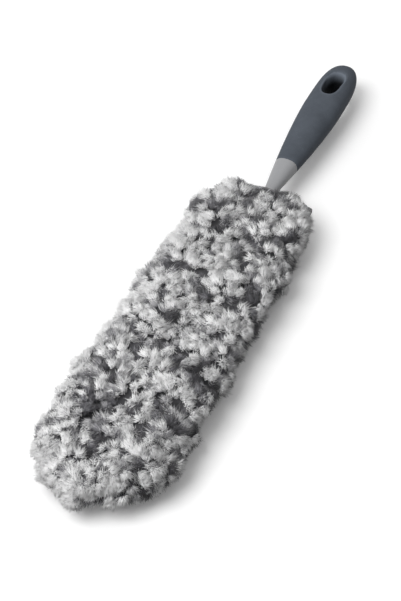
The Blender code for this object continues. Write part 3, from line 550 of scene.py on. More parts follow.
class PileSkin:
    """The outer skin of the pile over a length along its plan and an angle round its sections.

    A section is |x / half|^p + |z / height|^p = 1, with a squarer power below than above. Its height
    shrinks with the plan's half width to the power 0.6, and above the axis it also falls to the mouth,
    with a dent exp(-(x / w)^2) where the neck comes out. Round the tip the underside rises, and the right
    side lies a little further back than the left.
    """

    def __init__(self):
        middle = (PILE_TIP_Y + PILE_REAR_Y) / 2
        reach = (PILE_REAR_Y - PILE_TIP_Y) / 2
        self.y = middle - reach * np.cos(np.linspace(0.0, math.pi, 4001))
        self.half = pile_half_width(self.y)
        self.length = arc_length(self.y, self.half)
        angle = np.linspace(0.0, 2.0 * math.pi, 2001)
        x, z = self.section(angle, PILE_HALF, 1.0)
        round_way = arc_length(x, z)
        self.angle, self.share = angle, round_way / round_way[-1]
        around = (self.half[1:] + self.half[:-1]) / 2 + GIRTH_HEIGHT_SHARE * AXIS_Z
        area = around / tuft_size(self.y[1:]) ** 2
        self.area = np.concatenate([[0.0], np.cumsum(area * np.diff(self.length))])

    @staticmethod
    def section(angle, half, swell, fall=1.0):
        c, s = np.cos(angle), np.sin(angle)
        power = np.where(s > 0, TOP_SQUARENESS, BASE_SQUARENESS)
        height = AXIS_Z * swell * np.where(s > 0, fall, 1.0)
        return half * signed_power(c, 2.0 / power), height * signed_power(s, 2.0 / power)

    def at(self, length, angle):
        """Points of the skin."""
        y = np.interp(length, self.length, self.y)
        half = np.interp(length, self.length, self.half)
        swell = np.clip(half / PILE_HALF, 0.0, 1.0) ** SWELL_POWER
        fall = 1.0 - MOUTH_FALL * smoothstep((y - (PILE_REAR_Y - MOUTH_TAPER)) / MOUTH_TAPER)
        x, z = self.section(angle, half, swell, fall)
        dent = NECK_DENT * near_neck(x, y, NECK_DENT_HALF)
        end = smoothstep((ROUNDING_Y - y) / (ROUNDING_Y - PILE_TIP_Y))
        z = z * np.where(z > 0, 1.0 - dent, 1.0 - TIP_RISE * end)
        y = y + TIP_SLANT * end * smoothstep(x / TIP_SLANT_HALF)
        return np.stack([x, y, AXIS_Z + z], axis=-1)

    def normal(self, length, angle):
        """Outward normals, from the cross product of small steps both ways."""
        step, turn = 0.0012, 0.03
        inside = np.clip(length, step, self.length[-1] - step)
        along = self.at(inside + step, angle) - self.at(inside - step, angle)
        across = self.at(inside, angle + turn) - self.at(inside, angle - turn)
        normal = unit(np.cross(across, along))
        middle = np.array([0.0, 0.0, AXIS_Z])
        away = self.at(inside, angle) - middle
        away[..., 1] = 0.0
        facing = np.sign(np.sum(normal * away, axis=-1, keepdims=True))
        return normal * np.where(facing == 0, 1.0, facing)

    def scattered(self, spacing):
        """Tuft places on a golden spiral: even area steps along the pile, golden-angle steps round it."""
        count = int(self.area[-1] * GIRTH_FACTOR / (spacing**2 * math.sqrt(3) / 2))
        step = (np.arange(count) + 0.5) / count
        length = np.interp(step * self.area[-1], self.area, self.length)
        share = (np.arange(count) * (GOLDEN_ANGLE / (2.0 * math.pi))) % 1.0
        return length, np.interp(share, self.share, self.angle)


PILE = PileSkin()


def keep_clear(points):
    """Lifts points off the floor, and near the mouth moves them out of the hem, up or down.

    That move grows over HEM_LEAD_RUN, so a few roots still reach through the cloth before the hem, and a
    strand with points above and below the axis is drawn out between the two sides.
    """
    x, y, z = points[..., 0], points[..., 1], points[..., 2] - AXIS_Z
    side = np.where(z >= 0, 1.0, -1.0)
    mouth = smoothstep((y - (HEM_Y - HEM_LEAD)) / HEM_LEAD_RUN)
    hem = pocket_height(x, np.full_like(x, HEM_REAR_Y)) + HEM_THICKNESS + HEM_ROOM
    within = np.abs(x) < FRAME_HALF + KNIT_EDGE + SIDE_ROOM
    held = np.where(within & (mouth > 0), np.maximum(np.abs(z), hem * mouth), np.abs(z))
    points[..., 2] = np.maximum(AXIS_Z + side * held, FLOOR_ROOM)
    return points


def smooth_field(points, seed, lengths):
    """A smooth random field of mean 0 and deviation 1: waves in random directions, added up."""
    draw = np.random.RandomState(seed)
    directions = unit(draw.normal(size=(WAVE_COUNT, 3)))
    waves = directions * (2.0 * math.pi / draw.uniform(*lengths, (WAVE_COUNT, 1)))
    phase = draw.uniform(0.0, 2.0 * math.pi, WAVE_COUNT)
    return np.cos(points @ waves.T + phase).sum(axis=-1) / math.sqrt(WAVE_COUNT / 2)


def strand_mesh(lines, radii, tones, hearts, softness):
    """Closed strands from centre lines: a three-sided ring round each point but the last, and a pointed end.

    lines has a row of points for each strand, radii and tones a value for each of those points. A point's
    normal leans by the softness from the strand's own side to the way out from its tuft's heart.
    """
    count, stations, _ = lines.shape
    along = unit(np.gradient(lines, axis=1))
    side = unit(np.cross(along, np.array([0.23, 0.61, 0.76])))
    up = np.cross(along, side)
    turns = np.arange(3) * (2.0 * math.pi / 3.0)
    spokes = side[:, :, None] * np.cos(turns)[:, None] + up[:, :, None] * np.sin(turns)[:, None]
    rings = lines[:, :-1, None] + spokes[:, :-1] * radii[:, :-1, None, None]
    each = 3 * (stations - 1) + 1
    points = np.concatenate([rings.reshape(count, -1, 3), lines[:, -1:]], axis=1)
    own = np.concatenate([spokes[:, :-1].reshape(count, -1, 3), along[:, -1:]], axis=1)
    normals = unit(own * (1.0 - softness) + unit(points - hearts[:, None]) * softness)
    tone = np.concatenate([np.repeat(tones[:, :-1], 3, axis=1), tones[:, -1:]], axis=1)
    first = (np.arange(count) * each)[:, None, None]
    walls = quad_grid(stations - 1, 3)[None] + first
    last = 3 * (stations - 2)
    cone = np.array([[last, last + 1, each - 1], [last + 1, last + 2, each - 1], [last + 2, last, each - 1]])
    base = np.array([[2, 1, 0]])
    faces = [walls.reshape(-1, 4), (cone[None] + first).reshape(-1, 3), (base[None] + first).reshape(-1, 3)]
    return points.reshape(-1, 3), faces, tone.ravel(), normals


def sunflower(count, turn, across, beyond):
    """Offsets over a disc by the sunflower rule: the k-th lies at radius sqrt(k / n), at k golden angles.

    turn has one start angle for each disc; across and beyond are the disc's two axes.
    """
    k = np.arange(count)
    radius = np.sqrt((k + 0.5) / count)
    angle = k * GOLDEN_ANGLE + turn[..., None]
    plane = across[..., None, :] * np.cos(angle)[..., None] + beyond[..., None, :] * np.sin(angle)[..., None]
    return radius, plane * radius[:, None]


def tuft_tone(crown, normal, dye, settings):
    """Tone of each tuft: its dye, with a painted light round the tip and a painted shade low on the sides and
    at the neck.
    """
    front = smoothstep((ROUNDING_Y - crown[:, 1]) / TIP_ROUNDING)
    # Painted shade: the tufts low on the sides are darkened, less where they face down
    low = smoothstep((AXIS_Z - crown[:, 2]) / SIDE_SHADE_RUN + SIDE_SHADE_START)
    side = low * (1.0 - np.minimum(normal[:, 2], 0.0) ** 2)
    # Painted shade: the tufts round the neck are darkened
    neck = near_neck(crown[:, 0], crown[:, 1], NECK_SHADE_HALF)
    # Painted light: the tufts round the tip are lightened
    tone = settings.contrast * dye + settings.lightness + settings.tip_painted_light * front
    return tone - settings.shaded * side - NECK_SHADE * neck


def grow_tufts(length, angle, bundles, settings, draw):
    """What strand_mesh takes, for the strands of every tuft at places of the pile's skin.

    A tuft is a soft ball. Its bundles leave a heart below the skin towards points spread evenly over a
    disc, and end at heart + reach (d s + w lean s^2), where d lifts that disc onto a half sphere about the
    skin's normal and w is the way in which the pile is swept. Light tufts stand proud of dark ones.
    """
    tufts, each = len(length), settings.strands
    crown, normal = PILE.at(length, angle), PILE.normal(length, angle)
    slow = smooth_field(crown, [settings.seed, 5], SLOW_WAVES)
    quick = smooth_field(crown, [settings.seed, 6], QUICK_WAVES)
    dye = SLOW_DYE * slow + QUICK_DYE * quick + draw.normal(scale=OWN_DYE, size=tufts)
    lumps = smooth_field(crown, [settings.seed, 8], LUMP_WAVES)
    stand = settings.lumps * lumps + settings.proud * dye + draw.normal(scale=STAND_SPREAD, size=tufts)
    fields = [smooth_field(crown, [settings.seed, k], SWEEP_WAVES) for k in range(3)]
    sweep = np.stack(fields, axis=-1) + draw.normal(scale=SWEEP_SPREAD, size=(tufts, 3)) + DROOP
    sweep = unit(sweep - normal * np.sum(sweep * normal, axis=-1, keepdims=True))
    lean = draw.uniform(*settings.lean, (tufts, 1, 1, 1))
    grown = tuft_size(crown[:, 1])[:, None]
    reach = settings.tuft_length * grown * draw.uniform(*TUFT_RANGE, (tufts, 1))
    heart = crown + normal * (stand[:, None] - HEART_DEPTH * reach)

    turn = draw.uniform(0.0, 2.0 * math.pi, tufts)
    out, disc = sunflower(bundles, turn, unit(np.cross(normal, sweep)), sweep)
    aim = disc * settings.fan + normal[:, None] * np.sqrt(1.0 - (out[:, None] * settings.fan) ** 2)
    aim = unit(aim + draw.normal(scale=AIM_SPREAD, size=aim.shape))
    across = unit(np.cross(aim, sweep[:, None] + normal[:, None] * BUNDLE_TILT))
    size = settings.bundle_radius * grown[..., None] * draw.uniform(*BUNDLE_RANGE, (tufts, bundles, 1))
    turn = draw.uniform(0.0, 2.0 * math.pi, (tufts, bundles))
    inner, fan = sunflower(each, turn, across * size, np.cross(aim, across) * size)
    shape = (tufts, bundles, each)
    stray = draw.normal(scale=settings.stray, size=(*shape, 3))
    long = reach * draw.uniform(*BUNDLE_LENGTHS, (tufts, bundles))
    long = long[..., None] * (1.0 - OUTER_SHORTENING * inner**2) * draw.uniform(*STRAND_LENGTHS, shape)

    base, slide, aim = heart[:, None, None], sweep[:, None, None], aim[:, :, None]
    stations = []
    for s, gather, loose in STATIONS:
        path = aim * s + slide * lean * s**2
        stations.append(base + path * long[..., None] + fan * gather + stray * loose)
    line = keep_clear(np.stack(stations, axis=3).reshape(-1, 3, 3))
    rise = aim * LIGHT_RISE + slide * lean * LIGHT_LEAN
    middle = np.broadcast_to(base + rise * reach[:, None, None], stray.shape)

    tip = tuft_tone(crown, normal, dye, settings)
    tip = tip[:, None] + draw.normal(scale=settings.mottle, size=(tufts, bundles))
    end = 0.5 + 0.5 * np.tanh(tip[..., None] + draw.normal(scale=settings.mottle, size=shape))
    end = end + draw.normal(scale=TONE_SPREAD, size=(tufts, bundles, 1))
    end = np.clip(end + draw.normal(scale=TONE_SPREAD, size=shape), 0.0, 1.0)
    # Painted shade: each strand darkens towards its root, in the gaps between the tufts
    start = end * draw.uniform(*ROOT_TONE, (tufts, 1, 1))
    tone = np.stack([start, end * MIDDLE_TONE, end], axis=3).reshape(-1, 3)

    width = settings.strand_width / 2 * draw.uniform(*TUFT_RANGE, (line.shape[0], 1))
    return line, width * np.array(STATION_WIDTHS), tone, middle.reshape(-1, 3), settings.softness


# Settings that a user would change


def a_number(name, description, default, **kind):
    return FloatProperty(name=name, description=description, default=default, **kind)


def a_length(name, description, default, precision=4):
    return a_number(name, description, default, unit="LENGTH", precision=precision)


def a_share(name, description, default):
    return a_number(name, description, default, subtype="FACTOR")


def an_angle(name, description, degrees):
    return a_number(name, description, math.radians(degrees), unit="ROTATION")


def a_count(name, description, default, **limits):
    return IntProperty(name=name, description=description, default=default, **limits)


def a_pair(name, description, default):
    return FloatVectorProperty(name=name, description=description, default=default, size=2)


def a_colour(name, description, default):
    return FloatVectorProperty(name=name, description=description, default=default, subtype="COLOR")


class DusterPileSettings(bpy.types.PropertyGroup):
    tuft_spacing: a_length("Tuft Spacing", "Distance between neighbouring tufts", 0.0071)
    tuft_length: a_length("Tuft Length", "Length of a tuft from its heart", 0.0064)
    fan: a_share("Fan", "How far a tuft opens, where 1 is a half sphere", 0.95)
    bundles: a_count("Bundles", "Bundles in each tuft that faces up or out", 6, min=1)
    bundles_below: a_count("Bundles Below", "Bundles in each tuft underneath", 3, min=1)
    bundle_radius: a_length("Bundle Radius", "Radius of a bundle of strands", 0.0020)
    strands: a_count("Strands", "Strands in each bundle", 18, min=3)
    strand_width: a_length("Strand Width", "Width of one strand", 0.00045, 5)
    lean: a_pair("Lean", "Least and most that a tuft is swept over", (0.10, 0.75))
    stray: a_length("Stray", "How far a strand's end strays", 0.00080, 5)
    lumps: a_length("Lumps", "Height of the pile's lumps", 0.0014)
    proud: a_length("Proud", "How far light tufts stand over dark ones", 0.0009)
    softness: a_share("Softness", "How far the strands of a tuft are lit as one", 0.58)
    # Painted shade: darkens the tufts low on the sides
    shaded: a_number("Shaded", "Bias of the dye to the dark yarn low on the sides", 2.0)
    # Painted light: lightens the tufts round the tip
    tip_painted_light: a_number("Tip Painted Light", "Bias of the dye to the light yarn round the tip", 0.9)
    lightness: a_number("Lightness", "Bias of the dye to the light yarn", 0.80)
    contrast: a_number("Contrast", "How much the dye differs between tufts", 1.95)
    mottle: a_number("Mottle", "How much the dye differs within a tuft", 0.30)
    light_yarn: a_colour("Light Yarn", "Colour of the light yarn", (0.89, 0.89, 0.89))
    dark_yarn: a_colour("Dark Yarn", "Colour of the dark yarn", (0.172, 0.170, 0.186))
    seed: a_count("Seed", "Seed of the tufts' random lean and dye", 11)


class DusterGripSettings(bpy.types.PropertyGroup):
    colour: a_colour("Colour", "Colour of the rubber", (0.080, 0.091, 0.108))
    roughness: a_share("Roughness", "Roughness of the rubber", 0.58)
    rim: a_length("Hole Rim", "Radius of the hanging hole's rolled rim", 0.0009)
    scoop: a_number("Scoop", "Growth of the hole's rim towards the end", 3.2)
    edge: a_length("Collar Edge", "Radius of the collar's edge", 0.0004)


class DusterCoreSettings(bpy.types.PropertyGroup):
    colour: a_colour("Colour", "Colour of the hard plastic", (0.30, 0.303, 0.313))
    roughness: a_share("Roughness", "Roughness of the plastic", 0.38)


class DusterFrameSettings(bpy.types.PropertyGroup):
    nylon: a_colour("Nylon", "Colour of the flexible frame", (0.72, 0.72, 0.70))
    steel: a_colour("Steel", "Colour of the two pins", (0.60, 0.60, 0.62))


class DusterKnitSettings(bpy.types.PropertyGroup):
    colour: a_colour("Colour", "Colour of the knitted ground", (0.42, 0.42, 0.44))
    stitch: a_length("Stitch", "Width of one column of loops", 0.0016)
    thread: a_colour("Thread", "Colour of the sewing thread", (0.62, 0.62, 0.63))
    elastic: a_colour("Elastic", "Colour of the elastic", (0.80, 0.80, 0.78))


class DusterStageSettings(bpy.types.PropertyGroup):
    floor: a_colour("Floor", "Colour of the floor", (0.24, 0.24, 0.24))
    floor_seen: a_number("Floor Seen", "Floor colour where it is shown and doesn't light the duster", 1.0)
    floor_lift: a_number("Floor Lift", "Paleness added to the floor's shadow", 0.035)
    key: a_number("Key Light", "Power of the large lamp", 26.0, unit="POWER")
    sky: a_pair("Sky", "Strength of the light from the dim and the bright side", (0.03, 0.88))
    lens: a_number("Lens", "Focal length of the camera", 90.63, unit="CAMERA")
    distance: a_number("Distance", "From the camera to the point it looks at", 1.009, unit="LENGTH")
    elevation: an_angle("Elevation", "Camera's angle above the floor", 45.0)
    azimuth: an_angle("Azimuth", "Camera's turn from the duster's length", 24.3)


# Pieces of the sleeve


class DUSTER_OT_pile_ground(bpy.types.Operator):
    """Builds the dense ground of the pile, a hollow shell that the tufts stand in"""

    bl_idname = "duster.pile_ground"
    bl_label = "Pile Ground"

    def execute(self, context):
        settings = context.scene.duster_pile
        sides, steps = 96, 110
        turn = np.linspace(0.0, 2.0 * math.pi, sides, endpoint=False)[None]
        share = np.linspace(0.0, 1.0, steps)[:, None]
        rear = np.interp(GROUND_END_Y, PILE.y, PILE.length)
        length, angle = np.broadcast_arrays(share * rear, turn)
        outer = PILE.at(length, angle)
        axis = outer * np.array([0.0, 1.0, 0.0]) + np.array([0.0, 0.0, AXIS_Z])
        lumps = smooth_field(outer, [settings.seed, 9], GROUND_WAVES)
        sunk = settings.tuft_length * GROUND_SINK + lumps * GROUND_LUMPS
        depth = np.minimum(sunk, GROUND_MOST * np.linalg.norm(outer - axis, axis=-1))
        outer = outer - PILE.normal(length, angle) * depth[..., None]
        outer[..., 2] = np.maximum(outer[..., 2], GROUND_FLOOR)
        inner_y = np.linspace(GROUND_END_Y, ROUNDING_Y - TIP_ROUNDING - PILE_SPLIT, steps)[:, None]
        x = outline_half(inner_y, PILE_SPLIT) * signed_power(np.cos(turn), GROUND_POWER)
        at_hem = np.minimum(inner_y, HEM_REAR_Y) + 0.0 * x
        lift = np.where(inner_y > HEM_Y, HEM_THICKNESS, KNIT_THICKNESS) + SEAT_GAP
        z = (pocket_height(x, at_hem) + lift) * signed_power(np.sin(turn), GROUND_POWER)
        inner = np.stack([x, inner_y + 0.0 * x, AXIS_Z + z], axis=-1)
        rings = np.concatenate([outer, inner])
        faces = [quad_grid(len(rings), sides)]
        # Tone 0 gives the ground the darkest stop, a painted shade under the tufts
        piece = piece_from("pile_ground", rings, faces, {"tone": np.zeros(rings.shape[:2])})
        yarn = shared("yarn", yarn_finish, settings)
        dressed(piece, yarn, "sleeve", "mottled_pile", "upper_pile", "lower_pile")
        return {"FINISHED"}


class DUSTER_OT_tufts(bpy.types.Operator):
    """Grows the tufts of the pile, zone by zone, out to the skin of the sleeve"""

    bl_idname = "duster.tufts"
    bl_label = "Tufts"

    def execute(self, context):
        settings = context.scene.duster_pile
        length, angle = PILE.scattered(settings.tuft_spacing)
        draw = np.random.RandomState(settings.seed)
        length = length + draw.normal(scale=PLACE_SPREAD, size=len(length))
        length = np.clip(length, 0.0, PILE.length[-1])
        angle = angle + draw.normal(scale=TURN_SPREAD, size=len(length))
        place = PILE.at(length, angle)
        x, y, z = place[:, 0], place[:, 1], place[:, 2] - AXIS_Z
        hem = pocket_height(x, np.full_like(x, HEM_REAR_Y)) + HEM_THICKNESS
        free = (y < HEM_REAR_Y - MOUTH_CLEAR) | (np.abs(z) > hem + HEM_CLEAR)
        free |= np.abs(x) > FRAME_HALF + KNIT_EDGE
        tip = (y < ROUNDING_Y) & (np.abs(x) > outline_half(y, PILE_SPLIT))
        tip |= y < ROUNDING_Y - TIP_ROUNDING - PILE_SPLIT
        left = (x < -FRAME_HALF - PILE_SPLIT) & ~tip
        right = (x > FRAME_HALF + PILE_SPLIT) & ~tip
        face = ~(tip | left | right)
        zones = [("tip", tip, 2), ("left_edge", left, 2), ("right_edge", right, 2)]
        zones += [("upper", face & (z >= 0), 4), ("lower", face & (z < 0), 3)]
        yarn = shared("yarn", yarn_finish, settings)
        for order, (zone, chosen, parts) in enumerate(zones):
            cuts = np.quantile(y[chosen & free], np.linspace(0.0, 1.0, parts + 1))
            cuts[0], cuts[-1] = PILE_TIP_Y, PILE_REAR_Y
            bundles = settings.bundles_below if zone == "lower" else settings.bundles
            for part in range(parts):
                here = chosen & free & (y >= cuts[part]) & (y < cuts[part + 1])
                draw = np.random.RandomState([settings.seed, order, part])
                grown = grow_tufts(length[here], angle[here], bundles, settings, draw)
                points, faces, tone, normals = strand_mesh(*grown)
                name = f"{zone}_tufts_{part + 1}"
                piece = piece_from(name, points, faces, {"tone": tone}, weld=False, normals=normals)
                dressed(piece, yarn, "sleeve", "mottled_pile", f"{zone}_pile")
        return {"FINISHED"}


class DUSTER_OT_knits(bpy.types.Operator):
    """Builds the two knitted grounds of the sleeve as thin closed sheets"""

    bl_idname = "duster.knits"
    bl_label = "Knitted Grounds"

    def execute(self, context):
        settings = context.scene.duster_knit
        knit = shared("knit", knit_finish, settings)
        columns, rows = 49, 140
        tip_y = ROUNDING_Y - TIP_ROUNDING - KNIT_EDGE
        end = HEM_Y - SEAT_GAP
        run = np.linspace(0.0, 1.0, rows)[:, None]
        y = tip_y + (end - tip_y) * (ROW_CROWDING * run**2 + (1.0 - ROW_CROWDING) * run)
        half = np.maximum(outline_half(y, KNIT_EDGE), NARROWEST_ROW)
        across = np.sin(np.linspace(-0.5, 0.5, columns) * math.pi)[None]
        x = half * across
        y = y + 0.0 * x
        for name, side in (("upper_knit", 1.0), ("lower_knit", -1.0)):
            inner = pocket_height(x, y)
            layers = []
            for height, order in ((inner, 1), (inner + KNIT_THICKNESS, -1)):
                layer = np.stack([x, y, AXIS_Z + side * height], axis=-1)
                layers.append(layer[:, ::order])
            rings = np.concatenate(layers, axis=1)
            caps = []
            for row in (0, rows - 1):
                base = row * 2 * columns + np.arange(columns - 1)
                far = row * 2 * columns + 2 * columns - 1 - np.arange(columns - 1)
                caps.append(np.stack([base, base + 1, far - 1, far], axis=-1))
            faces = [quad_grid(rows, 2 * columns), *caps]
            piece = piece_from(name, rings, faces)
            node = name.replace("knit", "backing")
            dressed(piece, knit, "sleeve", "grey_knit", node)
        return {"FINISHED"}


class DUSTER_OT_overlock(bpy.types.Operator):
    """Winds the overlock thread over the sewn edge that joins the two knitted grounds"""

    bl_idname = "duster.overlock"
    bl_label = "Overlocked Edge"

    def execute(self, context):
        settings = context.scene.duster_knit
        pitch, each, sides = 0.0019, 9, 5
        thread, throw, stop = 0.00028, 0.00032, 0.001
        x, y = outline_path(OVERLOCK_MIDDLE, HEM_Y - SEAT_GAP - stop, 2000)
        length = arc_length(x, y)
        turns = int(length[-1] / pitch)
        share = np.linspace(0.0, length[-1], turns * each)
        px, py = np.interp(share, length, x), np.interp(share, length, y)
        way = unit(np.stack([np.gradient(px), np.gradient(py), 0.0 * px], axis=-1))
        out = np.cross(way, np.array([0.0, 0.0, 1.0]))
        wind = share / pitch * 2.0 * math.pi
        lift = (SEAT_GAP / 2 + KNIT_THICKNESS - thread) * np.sin(wind)
        line = np.stack([px, py, AXIS_Z + lift], axis=-1) + out * (throw * np.cos(wind))[:, None]
        rings = tube_rings(line, np.full(len(line), thread), sides)
        caps = [np.arange(sides)[None, ::-1], (len(line) - 1) * sides + np.arange(sides)[None]]
        piece = piece_from("overlock_thread", rings, [quad_grid(len(line), sides), *caps])
        finish = thread_finish("overlock_thread", tuple(settings.thread))
        dressed(piece, finish, "sleeve", "grey_knit", "edge_seam")
        return {"FINISHED"}


def tube_rings(line, radius, sides):
    """Rings round a line: centre + radius (cos t side + sin t up), square to the line at each point."""
    way = unit(np.gradient(line, axis=0))
    side = unit(np.cross(way, np.array([0.31, 0.17, 0.93])))
    up = np.cross(way, side)
    turn = np.arange(sides) * (2.0 * math.pi / sides)
    spokes = side[:, None] * np.cos(turn)[None, :, None] + up[:, None] * np.sin(turn)[None, :, None]
    return line[:, None] + spokes * radius[:, None, None]


def mouth_ring(outset, count):
    """The mouth's section moved outwards: x = w cos(t)^0.8, and the pocket's height with the outset.

    The height is rounded off at the ends by sqrt(1 - (x / w)^8).
    """
    turn = np.linspace(0.0, 2.0 * math.pi, count, endpoint=False)
    width = FRAME_HALF + POCKET_EDGE
    x = (width + outset) * signed_power(np.cos(turn), 0.8)
    inner = np.clip(x * width / (width + outset), -width, width)
    round_off = np.sqrt(np.maximum(0.0, 1.0 - (x / (width + outset)) ** 8))
    height = pocket_height(inner, np.full_like(inner, HEM_REAR_Y)) + outset
    z = np.sign(np.sin(turn)) * height * np.minimum(1.0, round_off)
    z = np.where(np.abs(np.sin(turn)) < 1e-9, 0.0, z)
    return x, z


def mouth_tube(name, profile, ruffle, rise):
    """A closed tube round the mouth, with one ring for each (outset, y) of its profile.

    A ring moves by ruffle(y) along Y, and by rise times that upwards.
    """
    loops = []
    for outset, y in profile:
        x, z = mouth_ring(outset, MOUTH_STEPS)
        moved = ruffle(y)
        loops.append(np.stack([x, y + moved, AXIS_Z + z + moved * rise], axis=-1))
    rings = np.stack(loops + loops[:1])
    return piece_from(name, rings, [quad_grid(len(rings), MOUTH_STEPS)])


class DUSTER_OT_hem(bpy.types.Operator):
    """Folds the gathered hem round the mouth, with its elastic inside"""

    bl_idname = "duster.hem"
    bl_label = "Hem and Elastic"

    def execute(self, context):
        settings = context.scene.duster_knit
        wall = (HEM_THICKNESS - ELASTIC_THICKNESS) / 2 - SEAT_GAP
        inner, outer = wall, HEM_THICKNESS - wall
        groove = HEM_Y + ELASTIC_WIDTH + 2.0 * SEAT_GAP
        fold = np.linspace(0.0, math.pi, 13)
        half = HEM_THICKNESS / 2
        profile = [(sunk, HEM_Y + along) for sunk, along in STITCH_ROW]
        profile += [(half - half * math.cos(t), HEM_REAR_Y - half + half * math.sin(t)) for t in fold]
        profile += [(HEM_THICKNESS - sunk, HEM_Y + along) for sunk, along in reversed(STITCH_ROW)]
        profile += [(outer, HEM_Y), (outer, groove), (inner, groove), (inner, HEM_Y)]
        round_way = np.arange(MOUTH_STEPS) / MOUTH_STEPS * 2.0 * math.pi
        gather = np.sin(round_way * FINE_GATHERS) * 0.6 + np.sin(round_way * WIDE_GATHERS + 1.0) * 0.4

        def ruffle(y):
            return RUFFLE * smoothstep((y - HEM_Y) / RUFFLE_RUN) * gather

        piece = mouth_tube("gathered_hem", profile, ruffle, RUFFLE_RISE)
        dressed(piece, shared("knit", knit_finish, settings), "sleeve", "grey_knit", "mouth_hem")

        start = HEM_Y + SEAT_GAP
        low, high, end = inner + SEAT_GAP, outer - SEAT_GAP, start + ELASTIC_WIDTH
        ribs = RIB * np.sin(round_way * RIBS)
        profile = [(low, start), (low, end), (high, end), (high, start)]
        piece = mouth_tube("ribbed_elastic", profile, lambda y: ribs, 0.0)
        finish = thread_finish("ribbed_elastic", tuple(settings.elastic))
        dressed(piece, finish, "sleeve", "white_elastic", "mouth_elastic")
        return {"FINISHED"}


# Pieces of the handle


def grip_half(y, sizes, inset):
    """Half size of neck and grip, from its half sizes at belly and neck, moved inwards.

    It is belly - (belly - neck) run^1.5 to the belly, and then belly sqrt(1 - run^4.3).
    """
    belly, neck = sizes
    before = np.maximum((BELLY_Y - y) / (BELLY_Y - NECK_Y), 0.0)
    swell = belly - (belly - neck) * before**NECK_SWELL - inset
    run = np.clip((y - BELLY_Y) / (END_Y - inset - BELLY_Y), 0.0, 1.0)
    close = (belly - inset) * np.sqrt(1.0 - run**END_BLUNTNESS)
    return np.where(y < BELLY_Y, swell, close)


def section_rings(half_x, half_z, power, y, count):
    """Rings |x / a|^p + |z / b|^p = 1 about the handle's axis, one for each y."""
    rows = np.broadcast_arrays(half_x, half_z, power, y)
    half_x, half_z, power, y = (row.astype(float)[:, None] for row in rows)
    turn = np.linspace(0.0, 2.0 * math.pi, count, endpoint=False)[None]
    x = half_x * signed_power(np.cos(turn), 2.0 / power)
    z = half_z * signed_power(np.sin(turn), 2.0 / power)
    return np.stack([x, y + 0.0 * x, AXIS_Z + z], axis=-1)


def handle_rings(y, inset, count):
    """Rings of the handle's own section at each y, moved inwards."""
    half_x, half_z = grip_half(y, HALF_WIDTHS, inset), grip_half(y, HALF_HEIGHTS, inset)
    return section_rings(half_x, half_z, GRIP_SQUARENESS, y, count)


def hole_edge(angle, outset):
    """Plan of the hanging hole moved outwards: where rays from its middle meet |x / a|^q + |y / b|^q = 1."""
    a, b = HOLE_HALF_X + outset, HOLE_HALF_Y + outset
    reach = np.abs(np.cos(angle) / a) ** HOLE_SQUARENESS + np.abs(np.sin(angle) / b) ** HOLE_SQUARENESS
    reach = reach ** (-1.0 / HOLE_SQUARENESS)
    return reach * np.cos(angle), HOLE_Y + reach * np.sin(angle)


